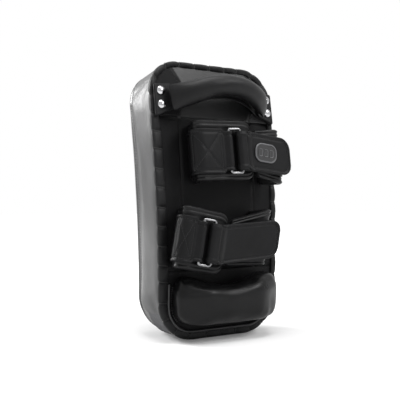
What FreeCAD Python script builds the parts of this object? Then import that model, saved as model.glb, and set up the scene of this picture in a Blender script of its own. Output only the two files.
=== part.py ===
"""Thai pad for kick and knee training: a bowed foam slab in a leather cover, with a padded grip handle,
a bumper roll and two forearm straps that close through steel rings.

Frame: +X across the pad, +Y towards the strike face, -Y towards the holder, +Z up. The pad stands on
its lower end, and the origin is under the middle of its bounding box. Lengths are in millimetres.
"""
import FreeCAD, Part
import math
import os
import re
import Sketcher
from FreeCAD import Vector

# ---------------------------------------------------------------------------------------- sizes
# Every piece takes its size and place from these cells, so a change here carries through the pad.
PAD_SIZES = {
    "pad_height": (390, "floor to top edge"),
    "top_width": (213, "across the edge binding, at the top if its corners were square"),
    "foot_width": (198, "across the edge binding, at the floor if its corners were square"),
    "pad_depth": (91, "back panels to strike face"),
    "bow_radius": (1540, "radius of the back face seen from the side"),
    "bow_level": (99, "height where the back face is upright and nearest the holder"),
    "corner": (48, "gusset corner radius"),
    "side_slope": (0.07, "how fast the sides close in towards the strike face"),
    "top_slope": (0.095, "how fast the top falls towards the strike face"),
    "edge_round": (20, "rounding where gusset and strike face meet"),
    "leather": (2, "covering leather"),
    "seat_gap": (0.3, "clearance between pieces that lie on each other"),
    "board": (4, "stiff backing board"),
    "core_depth": (37, "dense foam behind the impact foam"),
    "seam_setback": (3, "strike face seam, past the rounded edge"),
    "binding_thick": (3, "rolled edge binding"),
    "binding_flat": (8, "binding width on the back"),
    "binding_wrap": (4, "binding width on the gusset"),
    "panel_seam": (62, "side seams of the forearm panel, from the middle"),
    "crown_drop": (81, "seam between forearm panel and crown, below the top edge"),
    "panel_foot": (96, "seam between forearm panel and base panel"),
    "origin_shift": (40, "from the upright part of the back face to the origin; set from the finished pad"),
}
HANDLE_SIZES = {
    "handle_drop": (57.5, "middle of the handle's rivets below the pad's top edge"),
    "handle_edge": (5.5, "handle strap's ends inside the full top width"),
    "tab_length": (27, "end tabs along the strap"),
    "tab_top": (19, "upper edge of the end tabs, above the rivets' middle"),
    "tab_foot": (27, "lower edge of the end tabs at their outer end, below the rivets' middle"),
    "handle_slope": (31.5, "how steeply the handle strap leaves the tabs, degrees"),
    "handle_arch": (108, "radius of the handle strap seen from above"),
    "handle_rise": (42, "peak of the handle strap's lower edge, where its legs would meet"),
    "handle_crown": (8, "peak of the handle strap's upper edge, where its legs would meet"),
    "arch_low": (200, "radius of the handle strap's lower edge"),
    "arch_high": (250, "radius of the handle strap's upper edge"),
    "roll_radius": (15.7, "grip roll"),
    "roll_tuck": (4, "how far the grip roll runs in under an end tab"),
    "roll_lean": (34, "how far the roll's curve leans up from straight out, degrees"),
    "roll_lift": (13, "middle of the grip roll above the rivets' middle"),
    "rivet_setback": (10, "rivets inside the strap's ends"),
    "rivet_pitch": (19.5, "between the two rivets of an end tab"),
    "rivet_cap": (6.5, "radius of a rivet cap"),
    "rivet_dome": (3.4, "height of a rivet cap"),
    "rivet_post": (2, "radius of a rivet post"),
    "burr_radius": (6, "washer behind the board"),
    "burr_thick": (1, "washer behind the board"),
}
BUMPER_SIZES = {
    "bumper_height": (54, "middle of the bumper roll above the floor"),
    "bumper_half": (83, "half length of the bumper roll"),
    "bumper_drop": (29, "foot of the roll below its middle"),
    "bumper_ear": (44, "top of the roll's ends above its middle, if their corners were square"),
    "bumper_dip": (16, "slope of the roll's top towards the middle, degrees"),
    "bumper_bowl": (150, "radius of the hollow along the roll's top"),
    "ear_bend": (18, "corner radius of the roll's upper ends"),
    "bumper_proud": (46, "bumper roll out from the back panel"),
    "bumper_flank": (26, "how far the ends of the roll stand out"),
    "bumper_face": (50, "half length of the roll's flat front"),
    "bumper_round": (15, "rounding of the roll's long edges"),
    "bumper_wadding": (6.5, "cover and wadding round the roll's core"),
    "piping_radius": (2, "piping around the bumper"),
    "piping_out": (85.5, "piping from the middle of the pad"),
    "piping_foot": (12.5, "piping above the floor"),
    "piping_top": (80, "upper ends of the piping above the floor"),
    "piping_bend": (38, "corner radius of the piping"),
}
STRAP_SIZES = {
    "strap_leather": (2.6, "strap thickness"),
    "strap_width": (54, "width of the straps where they pass the rings"),
    "anchor_width": (62, "width of the stitched part of an anchor strap"),
    "cuff_width": (85, "padded cuff width"),
    "cuff_pad": (7, "padded cuff thickness"),
    "arm_room": (31, "forearm room under the cuffs"),
    "wall_lean": (24, "how far a strap's side leans outwards, degrees"),
    "foot_rise": (5, "upright part of a strap's side, above the back panel"),
    "foot_bend": (4, "bend above the foot, on the outer face"),
    "shoulder_bend": (11, "bend of a strap's outer corners, on the outer face"),
    "tongue_reach": (43, "cuff tongue beyond the ring's hinge bar"),
    "ring_wire": (4, "ring wire diameter"),
    "ring_reach": (18, "between the ring's long bars, centre to centre"),
    "ring_slack": (1.5, "room between strap edge and ring"),
    "ring_corner": (3.4, "ring corner radius on the wire's centre line"),
    "ring_swing": (2.2, "room for the ring's free bar inside the fold"),
    "tail_bend": (7, "bends of a tail where it comes down off the fold, middle of the leather"),
    "tail_hinge": (27, "where the tail starts to peel, beyond the ring's hinge bar"),
    "patch_thick": (2.4, "hook and loop patches"),
    "patch_inset": (4, "patch edges inside the strap's edges"),
    "return_pad_start": (47, "inner end of the return cuff"),
    "badge_long": (38, "badge on the upper tail"),
    "badge_tall": (27, "badge on the upper tail"),
    "badge_thick": (1.8, "badge rim"),
    "badge_rim": (2.6, "width of the badge rim"),
    "badge_ribs": (1.6, "width of a badge rib"),
    "badge_place": (57, "middle of the badge beyond the ring's hinge bar"),
    "upper_x": (-7.4, "upper ring's hinge bar from the middle of the pad"),
    "upper_z": (257, "upper ring above the floor"),
    "upper_tilt": (-2, "upper strap's fall to the right, degrees"),
    "upper_skew": (-8, "rise of the upper tail against its strap, degrees"),
    "upper_anchor": (57, "left side of the upper strap, from the ring's hinge bar"),
    "upper_return": (103, "right side of the upper strap, from the ring's hinge bar"),
    "upper_tail": (102, "end of the upper tail, from the ring's hinge bar"),
    "upper_cuff_lift": (2, "upper cuff's middle above its strap's"),
    "lower_x": (-60, "lower ring's hinge bar from the middle of the pad"),
    "lower_z": (138, "lower ring above the floor"),
    "lower_tilt": (11, "lower strap's fall to the right, degrees"),
    "lower_skew": (14, "rise of the lower tail against its strap, degrees"),
    "lower_anchor": (35, "left side of the lower strap, from the ring's hinge bar"),
    "lower_return": (125.5, "right side of the lower strap, from the ring's hinge bar"),
    "lower_tail": (126, "end of the lower tail, from the ring's hinge bar"),
    "lower_cuff_lift": (2.5, "lower cuff's middle above its strap's"),
    "upper_return_lift": (2, "end of the upper return cuff above its strap's"),
    "lower_return_lift": (4, "end of the lower return cuff above its strap's"),
}
SIZE_GROUPS = (PAD_SIZES, HANDLE_SIZES, BUMPER_SIZES, STRAP_SIZES)

doc = FreeCAD.newDocument("ThaiPad")
sheet = doc.addObject("Spreadsheet::Sheet", "Sizes")
nodes = []


def fill_sheet():
    row = 1
    for group in SIZE_GROUPS:
        for alias, (size, meaning) in group.items():
            sheet.set(f"A{row}", meaning)
            sheet.set(f"B{row}", str(size))
            sheet.setAlias(f"B{row}", alias)
            row += 1
    doc.recompute()


# ---------------------------------------------------------------------------------- expressions
FUNCTIONS = {"sqrt", "sin", "cos", "tan", "asin", "atan", "vector", "rotation", "placement"}


def sized(text):
    """An expression in which every plain word stands for the sheet's cell of that name."""
    return re.sub(r"[a-z][a-z_]*", lambda m: m[0] if m[0] in FUNCTIONS else "Sizes." + m[0], text)


def value(text):
    return float(sheet.evalExpression(sized(text)))


def back_at(height):
    """How far the back face has bowed away at a height."""
    return f"(bow_radius - sqrt(bow_radius * bow_radius - ({height} - bow_level) * ({height} - bow_level)))"


def frame_on_back(x, height, tilt="0"):
    """A placement on the back face: local -Y stands out of the face and local Z runs up it."""
    spot = f"vector({x}; {back_at(height)} - origin_shift; {height})"
    lean = f"rotation(vector(1; 0; 0); asin((bow_level - {height}) / bow_radius))"
    return f"placement({spot}; {lean} * rotation(vector(0; 1; 0); {tilt}))"


PAD_FRAME = "placement(vector(0; 0 - origin_shift; 0); rotation(vector(0; 0; 1); 0))"
HANDLE_FRAME = frame_on_back("0", "(pad_height - handle_drop)")
BUMPER_FRAME = frame_on_back("0", "bumper_height")


# ------------------------------------------------------------------------------ sketch helpers
def new_body(label, frame):
    body = doc.addObject("PartDesign::Body", label)
    body.Label = label
    body.setExpression("Placement", sized(frame))
    return body


def origin_part(body, role):
    return next(item for item in body.Origin.OriginFeatures if item.Role == role)


def new_sketch(body, role, offset="0"):
    sketch = body.newObject("Sketcher::SketchObject", body.Label + "_sketch")
    sketch.AttachmentSupport = [(origin_part(body, role), "")]
    sketch.MapMode = "FlatFace"
    sketch.setExpression("AttachmentOffset.Base.z", sized(offset))
    return sketch


def pin(sketch, geometry, end, x, y):
    """Holds a point at a place given by two expressions."""
    for kind, text in (("DistanceX", x), ("DistanceY", y)):
        number = sketch.addConstraint(Sketcher.Constraint(kind, -1, 1, geometry, end, value(text)))
        sketch.setExpression(f"Constraints[{number}]", sized(text))


def corner_points(points, radii):
    """Where the line into each corner ends, the middle of its arc and where the line out starts."""
    found = []
    for i, (point, radius) in enumerate(zip(points, radii)):
        if not radius:
            found.append((point, None, point))
            continue
        back = (points[i - 1] - point).normalize()
        ahead = (points[(i + 1) % len(points)] - point).normalize()
        half = math.acos(back.dot(ahead)) / 2
        reach = radius / math.tan(half)
        centre = point + (back + ahead).normalize() * (radius / math.sin(half))
        middle = centre + (point - centre).normalize() * radius
        found.append((point + back * reach, middle, point + ahead * reach))
    return found


def draw(sketch, corners, closed=True):
    """A run of lines through (x, y) or (x, y, bend radius) corners, with tangent arcs at the bends."""
    points = [Vector(value(corner[0]), value(corner[1]), 0) for corner in corners]
    radii = [value(corner[2]) if len(corner) > 2 else 0 for corner in corners]
    bends = corner_points(points, radii)
    count = len(corners)
    lines = []
    for i in range(count if closed else count - 1):
        lines.append(sketch.addGeometry(Part.LineSegment(bends[i][2], bends[(i + 1) % count][0])))
    for i, (x, y, *bend) in enumerate(corners):
        before = lines[i - 1] if closed or i > 0 else None
        after = lines[i] if closed or i < count - 1 else None
        if bend:
            arc = sketch.addGeometry(Part.Arc(*bends[i]))
            first = 1 if (sketch.getPoint(arc, 1) - bends[i][0]).Length < 1e-6 else 2
            sketch.addConstraint(Sketcher.Constraint("Tangent", before, 2, arc, first))
            sketch.addConstraint(Sketcher.Constraint("Tangent", arc, 3 - first, after, 1))
            number = sketch.addConstraint(Sketcher.Constraint("Radius", arc, radii[i]))
            sketch.setExpression(f"Constraints[{number}]", sized(bend[0]))
            corner = sketch.addGeometry(Part.Point(points[i]), True)
            sketch.addConstraint(Sketcher.Constraint("PointOnObject", corner, 1, before))
            sketch.addConstraint(Sketcher.Constraint("PointOnObject", corner, 1, after))
            pin(sketch, corner, 1, x, y)
        elif after is None:
            pin(sketch, before, 2, x, y)
        else:
            if before is not None:
                sketch.addConstraint(Sketcher.Constraint("Coincident", before, 2, after, 1))
            pin(sketch, after, 1, x, y)
    return sketch


def rectangle(low_x, low_y, high_x, high_y):
    return [(low_x, low_y), (high_x, low_y), (high_x, high_y), (low_x, high_y)]


# ----------------------------------------------------------------------------- feature helpers
def pad(body, sketch, length, both_ways=False):
    feature = body.newObject("PartDesign::Pad", body.Label + "_pad")
    feature.Profile = sketch
    feature.setExpression("Length", sized(length))
    if both_ways:
        feature.SideType = "Symmetric"
    body.Tip = feature
    return feature


def pocket_through(body, sketch):
    """Cuts right through, both ways, and makes sure that it has taken something away."""
    doc.recompute()
    before = body.Shape.Volume
    feature = body.newObject("PartDesign::Pocket", body.Label + "_pocket")
    feature.Profile = sketch
    feature.SideType = "Symmetric"
    feature.Type = "ThroughAll"
    body.Tip = feature
    doc.recompute()
    if not body.Shape.Volume < before:
        raise RuntimeError(f"{feature.Label} cuts nothing")
    return feature


def trim_to(body, role, corners):
    """Keeps only what lies inside an outline seen along a plane's normal."""
    sketch = new_sketch(body, role)
    far = "2 * pad_height"
    draw(sketch, rectangle(f"0 - {far}", f"0 - {far}", far, far))
    draw(sketch, corners)
    return pocket_through(body, sketch)


def sweep(body, section, path):
    feature = body.newObject("PartDesign::AdditivePipe", body.Label + "_sweep")
    runs = [item for item in path.Geometry if not isinstance(item, Part.Point)]
    feature.Profile = section
    feature.Spine = (path, [f"Edge{number + 1}" for number in range(len(runs))])
    body.Tip = feature
    doc.recompute()
    return feature


def dress(body, kind, cell, size, names):
    """A feature on named edges or faces of the body so far."""
    base = body.Tip
    feature = body.newObject("PartDesign::" + kind, f"{body.Label}_{kind.lower()}")
    feature.Base = (base, names)
    feature.setExpression(cell, sized(size))
    body.Tip = feature
    return feature


def edge_names(body, wanted):
    doc.recompute()
    return [f"Edge{i + 1}" for i, edge in enumerate(body.Tip.Shape.Edges) if wanted(edge)]


def fillet(body, radius, wanted):
    dress(body, "Fillet", "Radius", radius, edge_names(body, wanted))
    doc.recompute()


def bevel(body, leg, wanted):
    dress(body, "Chamfer", "Size", leg, edge_names(body, wanted))
    doc.recompute()


def circle(sketch, x, y, radius):
    number = sketch.addGeometry(Part.Circle(Vector(value(x), value(y), 0), Vector(0, 0, 1), value(radius)))
    pin(sketch, number, 3, x, y)
    constraint = sketch.addConstraint(Sketcher.Constraint("Radius", number, value(radius)))
    sketch.setExpression(f"Constraints[{constraint}]", sized(radius))
    return sketch


def combine(kind, label, base, tool):
    """A Part::Cut or Part::Common of two objects."""
    feature = doc.addObject(kind, label)
    feature.Label = label
    feature.Base = base
    feature.Tool = tool
    return feature


def group(label, members):
    feature = doc.addObject("Part::Compound", label)
    feature.Label = label
    feature.Links = members
    return feature


def mirrored(source):
    feature = doc.addObject("Part::Mirroring", source.Label + "_mirrored")
    feature.Source = source
    feature.Normal = Vector(1, 0, 0)
    return feature


def slab(label, low, high):
    """An upright block between two corners, in the pad's own frame."""
    box = doc.addObject("Part::Box", label)
    for side, axis, start, end in zip(("Length", "Width", "Height"), "xyz", low, high):
        box.setExpression(side, sized(f"({end}) - ({start})"))
        box.setExpression(f"Placement.Base.{axis}", sized(start))
    return box


def keep(*objects):
    """Names finished sub-parts: each becomes a file of its own."""
    nodes.extend(objects)


# --------------------------------------------------------------------------- the padded body
def half_space(label, spot, turn, shift):
    """A large block that trims a layer's blank with one slanted side."""
    block = doc.addObject("Part::Box", label)
    for side in ("Length", "Width", "Height"):
        block.setExpression(side, sized("4 * pad_height"))
    place = f"placement({spot}; {turn}) * placement({shift}; rotation(vector(0; 0; 1); 0))"
    block.setExpression("Placement", sized(place))
    return block


def tapered_blank(label, inset, bottom):
    """A block inset from the gusset, whose sides and top close in towards the strike face."""
    reach = f"(pad_depth + 2 * {back_at('pad_height')})"
    blank = slab(label + "_block", ("0 - top_width", "0 - pad_depth / 4", bottom),
                 ("top_width", reach, "2 * pad_height"))
    widen = "(top_width - foot_width) / 2 / pad_height"
    turn = f"rotation(vector(0; 0; 1); atan(side_slope)) * rotation(vector(0; 1; 0); atan({widen}))"
    right = half_space(label + "_right", f"vector(foot_width / 2 - binding_thick - ({inset}); 0; 0)", turn,
                       "vector(0; 0 - 2 * pad_height; 0 - 2 * pad_height)")
    head = f"pad_height - binding_thick - ({inset}) + top_slope * {back_at('pad_height')}"
    top = half_space(label + "_top", f"vector(0; 0; {head})",
                     "rotation(vector(1; 0; 0); atan((0 - top_slope)))",
                     "vector(0 - 2 * pad_height; 0 - 2 * pad_height; 0)")
    for tool in (right, mirrored(right), top):
        blank = combine("Part::Cut", label + "_blank", blank, tool)
    return blank


def bow_cut(body, depth, far_side):
    """Trims the body to the bowed surface at a depth under the back face."""
    sketch = new_sketch(body, "YZ_Plane")
    low, high = "0 - pad_depth", "pad_height + pad_depth"
    edge = "2 * pad_depth + pad_height" if far_side else "0 - 2 * pad_depth"
    radius = f"bow_radius - ({depth})"
    size, centre = value(radius), Vector(value("bow_radius"), value("bow_level"), 0)
    ends = [Vector(centre.x - math.sqrt(size ** 2 - (level - centre.y) ** 2), level, 0)
            for level in (value(low), value(high))]
    arc = sketch.addGeometry(Part.Arc(ends[0], centre - Vector(size, 0, 0), ends[1]))
    first = 1 if (sketch.getPoint(arc, 1) - ends[0]).Length < 1e-6 else 2
    corners = [ends[0], Vector(value(edge), ends[0].y, 0), Vector(value(edge), ends[1].y, 0), ends[1]]
    lines = [sketch.addGeometry(Part.LineSegment(*pair)) for pair in zip(corners, corners[1:])]
    pin(sketch, arc, 3, "bow_radius", "bow_level")
    number = sketch.addConstraint(Sketcher.Constraint("Radius", arc, size))
    sketch.setExpression(f"Constraints[{number}]", sized(radius))
    sketch.addConstraint(Sketcher.Constraint("Coincident", arc, first, lines[0], 1))
    sketch.addConstraint(Sketcher.Constraint("Coincident", lines[2], 2, arc, 3 - first))
    for i in (0, 1):
        sketch.addConstraint(Sketcher.Constraint("Coincident", lines[i], 2, lines[i + 1], 1))
    pin(sketch, lines[1], 1, edge, low)
    pin(sketch, lines[1], 2, edge, high)
    sketch.addConstraint(Sketcher.Constraint("Horizontal", lines[0]))
    sketch.addConstraint(Sketcher.Constraint("Horizontal", lines[2]))
    return pocket_through(body, sketch)


def runs_at(edge, depth, slack):
    """Whether an edge keeps to a depth under the back face."""
    radius = value(f"bow_radius - ({depth})")
    axis, level = value("bow_radius"), value("bow_level")
    spots = [edge.valueAt(edge.FirstParameter + share * (edge.LastParameter - edge.FirstParameter))
             for share in (0, 0.5, 1)]
    return all(abs(math.hypot(spot.y - axis, spot.z - level) - radius) < slack for spot in spots)


def bowed_block(label, inset, bottom, near, far, eased=None):
    """A layer of the pad between two depths; eased is (depth of the edge loop, leg of its bevel)."""
    body = new_body(label, PAD_FRAME)
    body.BaseFeature = tapered_blank(label, inset, bottom)
    body.Tip = body.Group[0]
    fillet(body, f"corner - ({inset})", lambda edge: abs(edge.tangentAt(edge.FirstParameter).y) > 0.9)
    bow_cut(body, near, False)
    bow_cut(body, far, True)
    if eased:
        depth, leg = eased
        bevel(body, leg, lambda edge: runs_at(edge, depth, 0.01))
    return body


def bow_cylinder(label, depth):
    """Everything deeper than a given depth under the back face."""
    cylinder = doc.addObject("Part::Cylinder", label)
    cylinder.setExpression("Radius", sized(f"bow_radius - ({depth})"))
    cylinder.setExpression("Height", sized("2 * top_width"))
    spot = "vector(0 - top_width; bow_radius - origin_shift; bow_level)"
    cylinder.setExpression("Placement", sized(f"placement({spot}; rotation(vector(0; 1; 0); 90))"))
    return cylinder


# Share of an edge's radius that a bevel takes along each side to touch the same round, and what a
# second pair of bevels takes from the corners that the first one leaves.
FIRST_BEVEL, NEXT_BEVEL = 0.586, 0.215


def make_cover():
    """The strike face and the gusset around it, sewn together just behind the eased edge."""
    first = f"edge_round * {FIRST_BEVEL}"
    outside = bowed_block("cover_outside", "0", "0", "0", "pad_depth", ("pad_depth", first))
    slack = value(first) / 5
    bevel(outside, f"edge_round * {NEXT_BEVEL}",
          lambda edge: runs_at(edge, "pad_depth", 0.01) or runs_at(edge, f"pad_depth - {first}", slack))
    inner_face = "pad_depth - leather"
    inside = bowed_block("cover_inside", "leather", "leather", "0 - pad_depth / 8", inner_face,
                         (inner_face, f"{first} - leather / 2"))
    shell = combine("Part::Cut", "cover_shell", outside, inside)
    seam = "pad_depth - edge_round - seam_setback"
    keep(combine("Part::Common", "strike_face", shell, bow_cylinder("face_side", seam)))
    keep(combine("Part::Cut", "side_gusset", shell, bow_cylinder("gusset_side", f"{seam} - seat_gap")))


def make_fillings(holes, recesses):
    inset = "leather + seat_gap"
    board_back = "leather + seat_gap"
    core_back = f"{board_back} + board + seat_gap"
    core_front = f"{core_back} + core_depth"
    foam_front = "pad_depth - leather - seat_gap"
    board = bowed_block("board_blank", inset, inset, board_back, f"{board_back} + board")
    core = bowed_block("core_blank", inset, inset, core_back, core_front)
    impact = bowed_block("impact_foam", inset, inset, f"{core_front} + seat_gap", foam_front,
                         (foam_front, f"edge_round * {FIRST_BEVEL} - leather / 2"))
    keep(combine("Part::Cut", "backing_board", board, holes))
    keep(combine("Part::Cut", "core_foam", core, recesses), impact)


def make_back_panels(holes):
    """Six leather panels that meet at seams and cover the back inside the gusset."""
    inset = "leather + seat_gap"
    sheet_of_leather = bowed_block("back_leather", inset, inset, "0", "leather")
    leather = combine("Part::Cut", "back_leather_pierced", sheet_of_leather, holes)
    edge, seam, half_gap = "top_width", "panel_seam", "seat_gap / 2"
    near, deep = "0 - top_width", "2 * top_width"
    columns = {"left": (f"0 - {edge}", f"0 - {seam} - {half_gap}"),
               "centre": (f"0 - {seam} + {half_gap}", f"{seam} - {half_gap}"),
               "right": (f"{seam} + {half_gap}", edge)}
    middle = (f"panel_foot + {half_gap}", f"pad_height - crown_drop - {half_gap}")
    top = (f"pad_height - crown_drop + {half_gap}", "2 * pad_height")
    pieces = {"left_side_panel": (columns["left"], middle), "forearm_panel": (columns["centre"], middle),
              "right_side_panel": (columns["right"], middle), "left_corner_patch": (columns["left"], top),
              "crown_panel": (columns["centre"], top), "right_corner_patch": (columns["right"], top),
              "base_panel": ((f"0 - {edge}", edge), ("0 - pad_height", f"panel_foot - {half_gap}"))}
    for label, ((left, right), (low, high)) in pieces.items():
        area = slab(label + "_area", (left, near, low), (right, deep, high))
        keep(combine("Part::Common", label, leather, area))


def make_binding():
    """The rolled edge: a band over the back's rim that wraps round onto the gusset."""
    outside = bowed_block("binding_outside", "0 - binding_thick", "0", "0 - binding_thick", "binding_wrap",
                          ("0 - binding_thick", "binding_thick / 2"))
    rim = bowed_block("binding_rim", "0 - seat_gap", "0 - seat_gap", "0 - seat_gap", "2 * binding_wrap")
    opening = bowed_block("binding_opening", "binding_flat", "binding_flat", "0 - 3 * binding_thick",
                          "binding_wrap")
    band = combine("Part::Cut", "binding_band", outside, rim)
    keep(combine("Part::Cut", "edge_binding", band, opening))


# ---------------------------------------------------------------------------------- the handle
# The handle strap's ends lie over the edge binding.
HANDLE_SEAT = "binding_thick + seat_gap"
SPAN = "(top_width / 2 - handle_edge)"
TAB_INNER = f"({SPAN} - tab_length)"
RIVET_OUT = f"({SPAN} - rivet_setback)"
# The strap's outer face at its middle; the grip roll lies on it there, and on the strap's ends.
APEX = (f"({HANDLE_SEAT} + strap_leather + ({TAB_INNER} - strap_leather) * tan(handle_slope)"
        " - handle_arch * (1 / cos(handle_slope) - 1))")
ROLL_PROUD = f"({APEX} + seat_gap + roll_radius)"
ROLL_SAG = f"(({ROLL_PROUD} - ({HANDLE_SEAT}) - strap_leather - seat_gap / 3 - roll_radius) / cos(roll_lean))"
ROLL_HALF = f"({TAB_INNER} + roll_tuck)"
ROLL_ARCH = f"(({ROLL_HALF} * {ROLL_HALF} + {ROLL_SAG} * {ROLL_SAG}) / 2 / {ROLL_SAG})"
RIVET_HEIGHTS = {"upper": "rivet_pitch / 2", "lower": "0 - rivet_pitch / 2"}


def handle_band():
    """The handle strap's front outline: two arched edges."""
    low, high, end = "0 - tab_foot", "tab_top", SPAN
    return [(f"0 - {end}", low, "3"), ("0", f"{low} + handle_rise", "arch_low"), (end, low, "3"),
            (end, high, "3"), ("0", f"{high} + handle_crown", "arch_high"), (f"0 - {end}", high, "3")]


def make_handle_strap(holes):
    """A flat strap, riveted down at both ends, that bridges the finger room."""
    body = new_body("handle_strap_blank", HANDLE_FRAME)
    near, start = f"0 - ({HANDLE_SEAT})", f"{TAB_INNER} - strap_leather"
    flat = f"{near} - strap_leather / 2"
    peak = f"{flat} - ({start}) * tan(handle_slope)"
    section = draw(new_sketch(body, "YZ_Plane", f"0 - {SPAN}"),
                   rectangle(f"{near} - strap_leather", f"0 - {SPAN}", near, SPAN))
    path = draw(new_sketch(body, "XY_Plane"),
                [(f"0 - {SPAN}", flat), (f"0 - ({start})", flat, "strap_leather * 3"),
                 ("0", peak, "handle_arch"), (start, flat, "strap_leather * 3"), (SPAN, flat)], closed=False)
    sweep(body, section, path)
    trim_to(body, "XZ_Plane", handle_band())
    keep(combine("Part::Cut", "handle_strap", body, holes))


def make_end_tabs(holes):
    """The stitched leather tabs over the strap's ends."""
    tab = new_body("left_tab", HANDLE_FRAME)
    rise, lift = (f"{height} / {SPAN} * tab_length" for height in ("handle_rise", "handle_crown"))
    sketch = draw(new_sketch(tab, "XZ_Plane", f"{HANDLE_SEAT} + strap_leather + seat_gap"),
                  [(f"0 - {SPAN}", "0 - tab_foot", "3"), (f"0 - {TAB_INNER}", f"0 - tab_foot + {rise}", "3"),
                   (f"0 - {TAB_INNER}", f"tab_top + {lift}", "3"), (f"0 - {SPAN}", "tab_top", "3")])
    pad(tab, sketch, "strap_leather")
    keep(combine("Part::Cut", "handle_end_tabs", group("both_tabs", [tab, mirrored(tab)]), holes))


def many_sided(x, y, radius, sides):
    """Corners on a circle, as a section for a bar or cord that is close to round."""
    turns = (2 * math.pi * (k + 0.5) / sides for k in range(sides))
    return [(f"{x} + ({radius}) * ({math.cos(turn):.5f})", f"{y} + ({radius}) * ({math.sin(turn):.5f})")
            for turn in turns]


def roll_arc(label, radius, half_length, sides):
    """An arched bar turned about an axis that leans up and out from the back face."""
    out, down = f"0 - {ROLL_PROUD} + {ROLL_ARCH} * cos(roll_lean)", f"roll_lift - {ROLL_ARCH} * sin(roll_lean)"
    lean = "rotation(vector(1; 0; 0); 0 - roll_lean)"
    body = new_body(label, f"{HANDLE_FRAME} * placement(vector(0; {out}; {down}); {lean})")
    turned = body.newObject("PartDesign::Revolution", label + "_turned")
    section = many_sided(f"0 - {ROLL_ARCH}", "0", radius, sides)
    turned.Profile = draw(new_sketch(body, "YZ_Plane"), section)
    turned.ReferenceAxis = (origin_part(body, "Z_Axis"), [""])
    turned.Midplane = True
    turned.setExpression("Angle", sized(f"2 * asin(({half_length}) / {ROLL_ARCH})"))
    body.Tip = turned
    return body


def make_grip_roll():
    outside = roll_arc("roll_outside", "roll_radius", ROLL_HALF, 16)
    inside = roll_arc("roll_inside", "roll_radius - leather", f"{ROLL_HALF} - leather", 8)
    keep(combine("Part::Cut", "grip_cover", outside, inside))
    keep(roll_arc("grip_core", "roll_radius - leather - seat_gap", f"{ROLL_HALF} - leather - seat_gap", 8))


def make_rivets():
    """Four capped rivets with washers inside, and the holes that they need."""
    head = f"({HANDLE_SEAT} + 2 * (strap_leather + seat_gap))"
    tip = "(leather + 2 * seat_gap + board + burr_thick)"
    rivets, burrs, holes, recesses = [], [], [], []
    for level, height in RIVET_HEIGHTS.items():
        spot = f"vector(0 - {RIVET_OUT}; 0; {height})"
        axis = f"{HANDLE_FRAME} * placement({spot}; rotation(vector(0; 0; 1); 0))"
        rivet = new_body(f"{level}_rivet", axis)
        dome = [(f"rivet_cap * {wide}", f"0 - {head} - rivet_dome * {high}")
                for wide, high in ((1, 0), (1, 0.2), (0.86, 0.56), (0.6, 0.84), (0.3, 0.97))]
        section = draw(new_sketch(rivet, "XY_Plane"),
                       [("0", tip), ("rivet_post", tip), ("rivet_post", f"0 - {head}"), *dome,
                        ("0", f"0 - {head} - rivet_dome")])
        turned = rivet.newObject("PartDesign::Revolution", f"{level}_rivet_turned")
        turned.Profile = section
        turned.ReferenceAxis = (origin_part(rivet, "Y_Axis"), [""])
        turned.Angle = 360
        rivet.Tip = turned
        burr = disc(f"{level}_burr", axis, f"0 - {tip}", "burr_thick", "burr_radius", "rivet_post + seat_gap / 3")
        hole = disc(f"{level}_hole", axis, f"0 - {tip}", f"{tip} + 2 * {head}", "rivet_post + seat_gap")
        recess = disc(f"{level}_recess", axis, f"0 - {tip} - seat_gap", tip, "burr_radius + seat_gap")
        for members, member in ((rivets, rivet), (burrs, burr), (holes, hole), (recesses, recess)):
            members += [member, mirrored(member)]
    keep(group("handle_rivets", rivets), group("rivet_burrs", burrs))
    return group("rivet_holes", holes), group("burr_recesses", recesses)


def disc(label, frame, start, thick, *radii):
    """A round plate, or a ring where a second radius gives its hole, standing out from a depth."""
    body = new_body(label, frame)
    sketch = new_sketch(body, "XZ_Plane", start)
    for radius in radii:
        circle(sketch, "0", "0", radius)
    pad(body, sketch, thick)
    return body


# ---------------------------------------------------------------------------------- the bumper
def bumper_form(label, inset, rounding=None):
    """The padded roll across the foot of the back, with raised ends, inset all round."""
    body = new_body(label, BUMPER_FRAME)
    end, back = f"bumper_half - ({inset})", f"0 - seat_gap - ({inset})"
    flank, front = f"0 - bumper_flank + ({inset})", f"0 - bumper_proud + ({inset})"
    plan = draw(new_sketch(body, "XY_Plane"),
                [(f"0 - ({end})", back), (end, back), (end, flank, "bumper_flank * 0.6"),
                 ("bumper_face", front, "bumper_proud"), ("0 - bumper_face", front, "bumper_proud"),
                 (f"0 - ({end})", flank, "bumper_flank * 0.6")])
    pad(body, plan, "2 * bumper_proud + 2 * bumper_ear", both_ways=True)
    foot, ear = f"({inset}) - bumper_drop", f"bumper_ear - ({inset})"
    dip = f"{ear} - ({end}) * tan(bumper_dip)"
    trim_to(body, "XZ_Plane",
            [(f"0 - ({end})", foot, "bumper_drop * 0.8"), (end, foot, "bumper_drop * 0.8"), (end, ear, "ear_bend"),
             ("0", dip, "bumper_bowl"), (f"0 - ({end})", ear, "ear_bend")])
    if rounding:
        back_face = value(back)
        fillet(body, rounding, lambda edge: edge.BoundBox.YMax < back_face - 1 and edge_is_front_rim(edge, body))
    return body


def edge_is_front_rim(edge, body):
    """The sharp rim between the roll's front and its outline has a front face on one side only."""
    faces = [face for face in body.Tip.Shape.Faces if any(edge.isSame(other) for other in face.Edges)]
    spot = edge.valueAt(edge.FirstParameter)
    upright = [abs(face.normalAt(*face.Surface.parameter(spot)).y) < 0.001 for face in faces]
    return upright.count(True) == 1


def make_bumper():
    outside = bumper_form("bumper_outside", "0", "bumper_round")
    inside = bumper_form("bumper_inside", "bumper_wadding")
    keep(combine("Part::Cut", "bumper_cover", outside, inside))
    keep(bumper_form("bumper_core", "bumper_wadding + seat_gap"))


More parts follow.
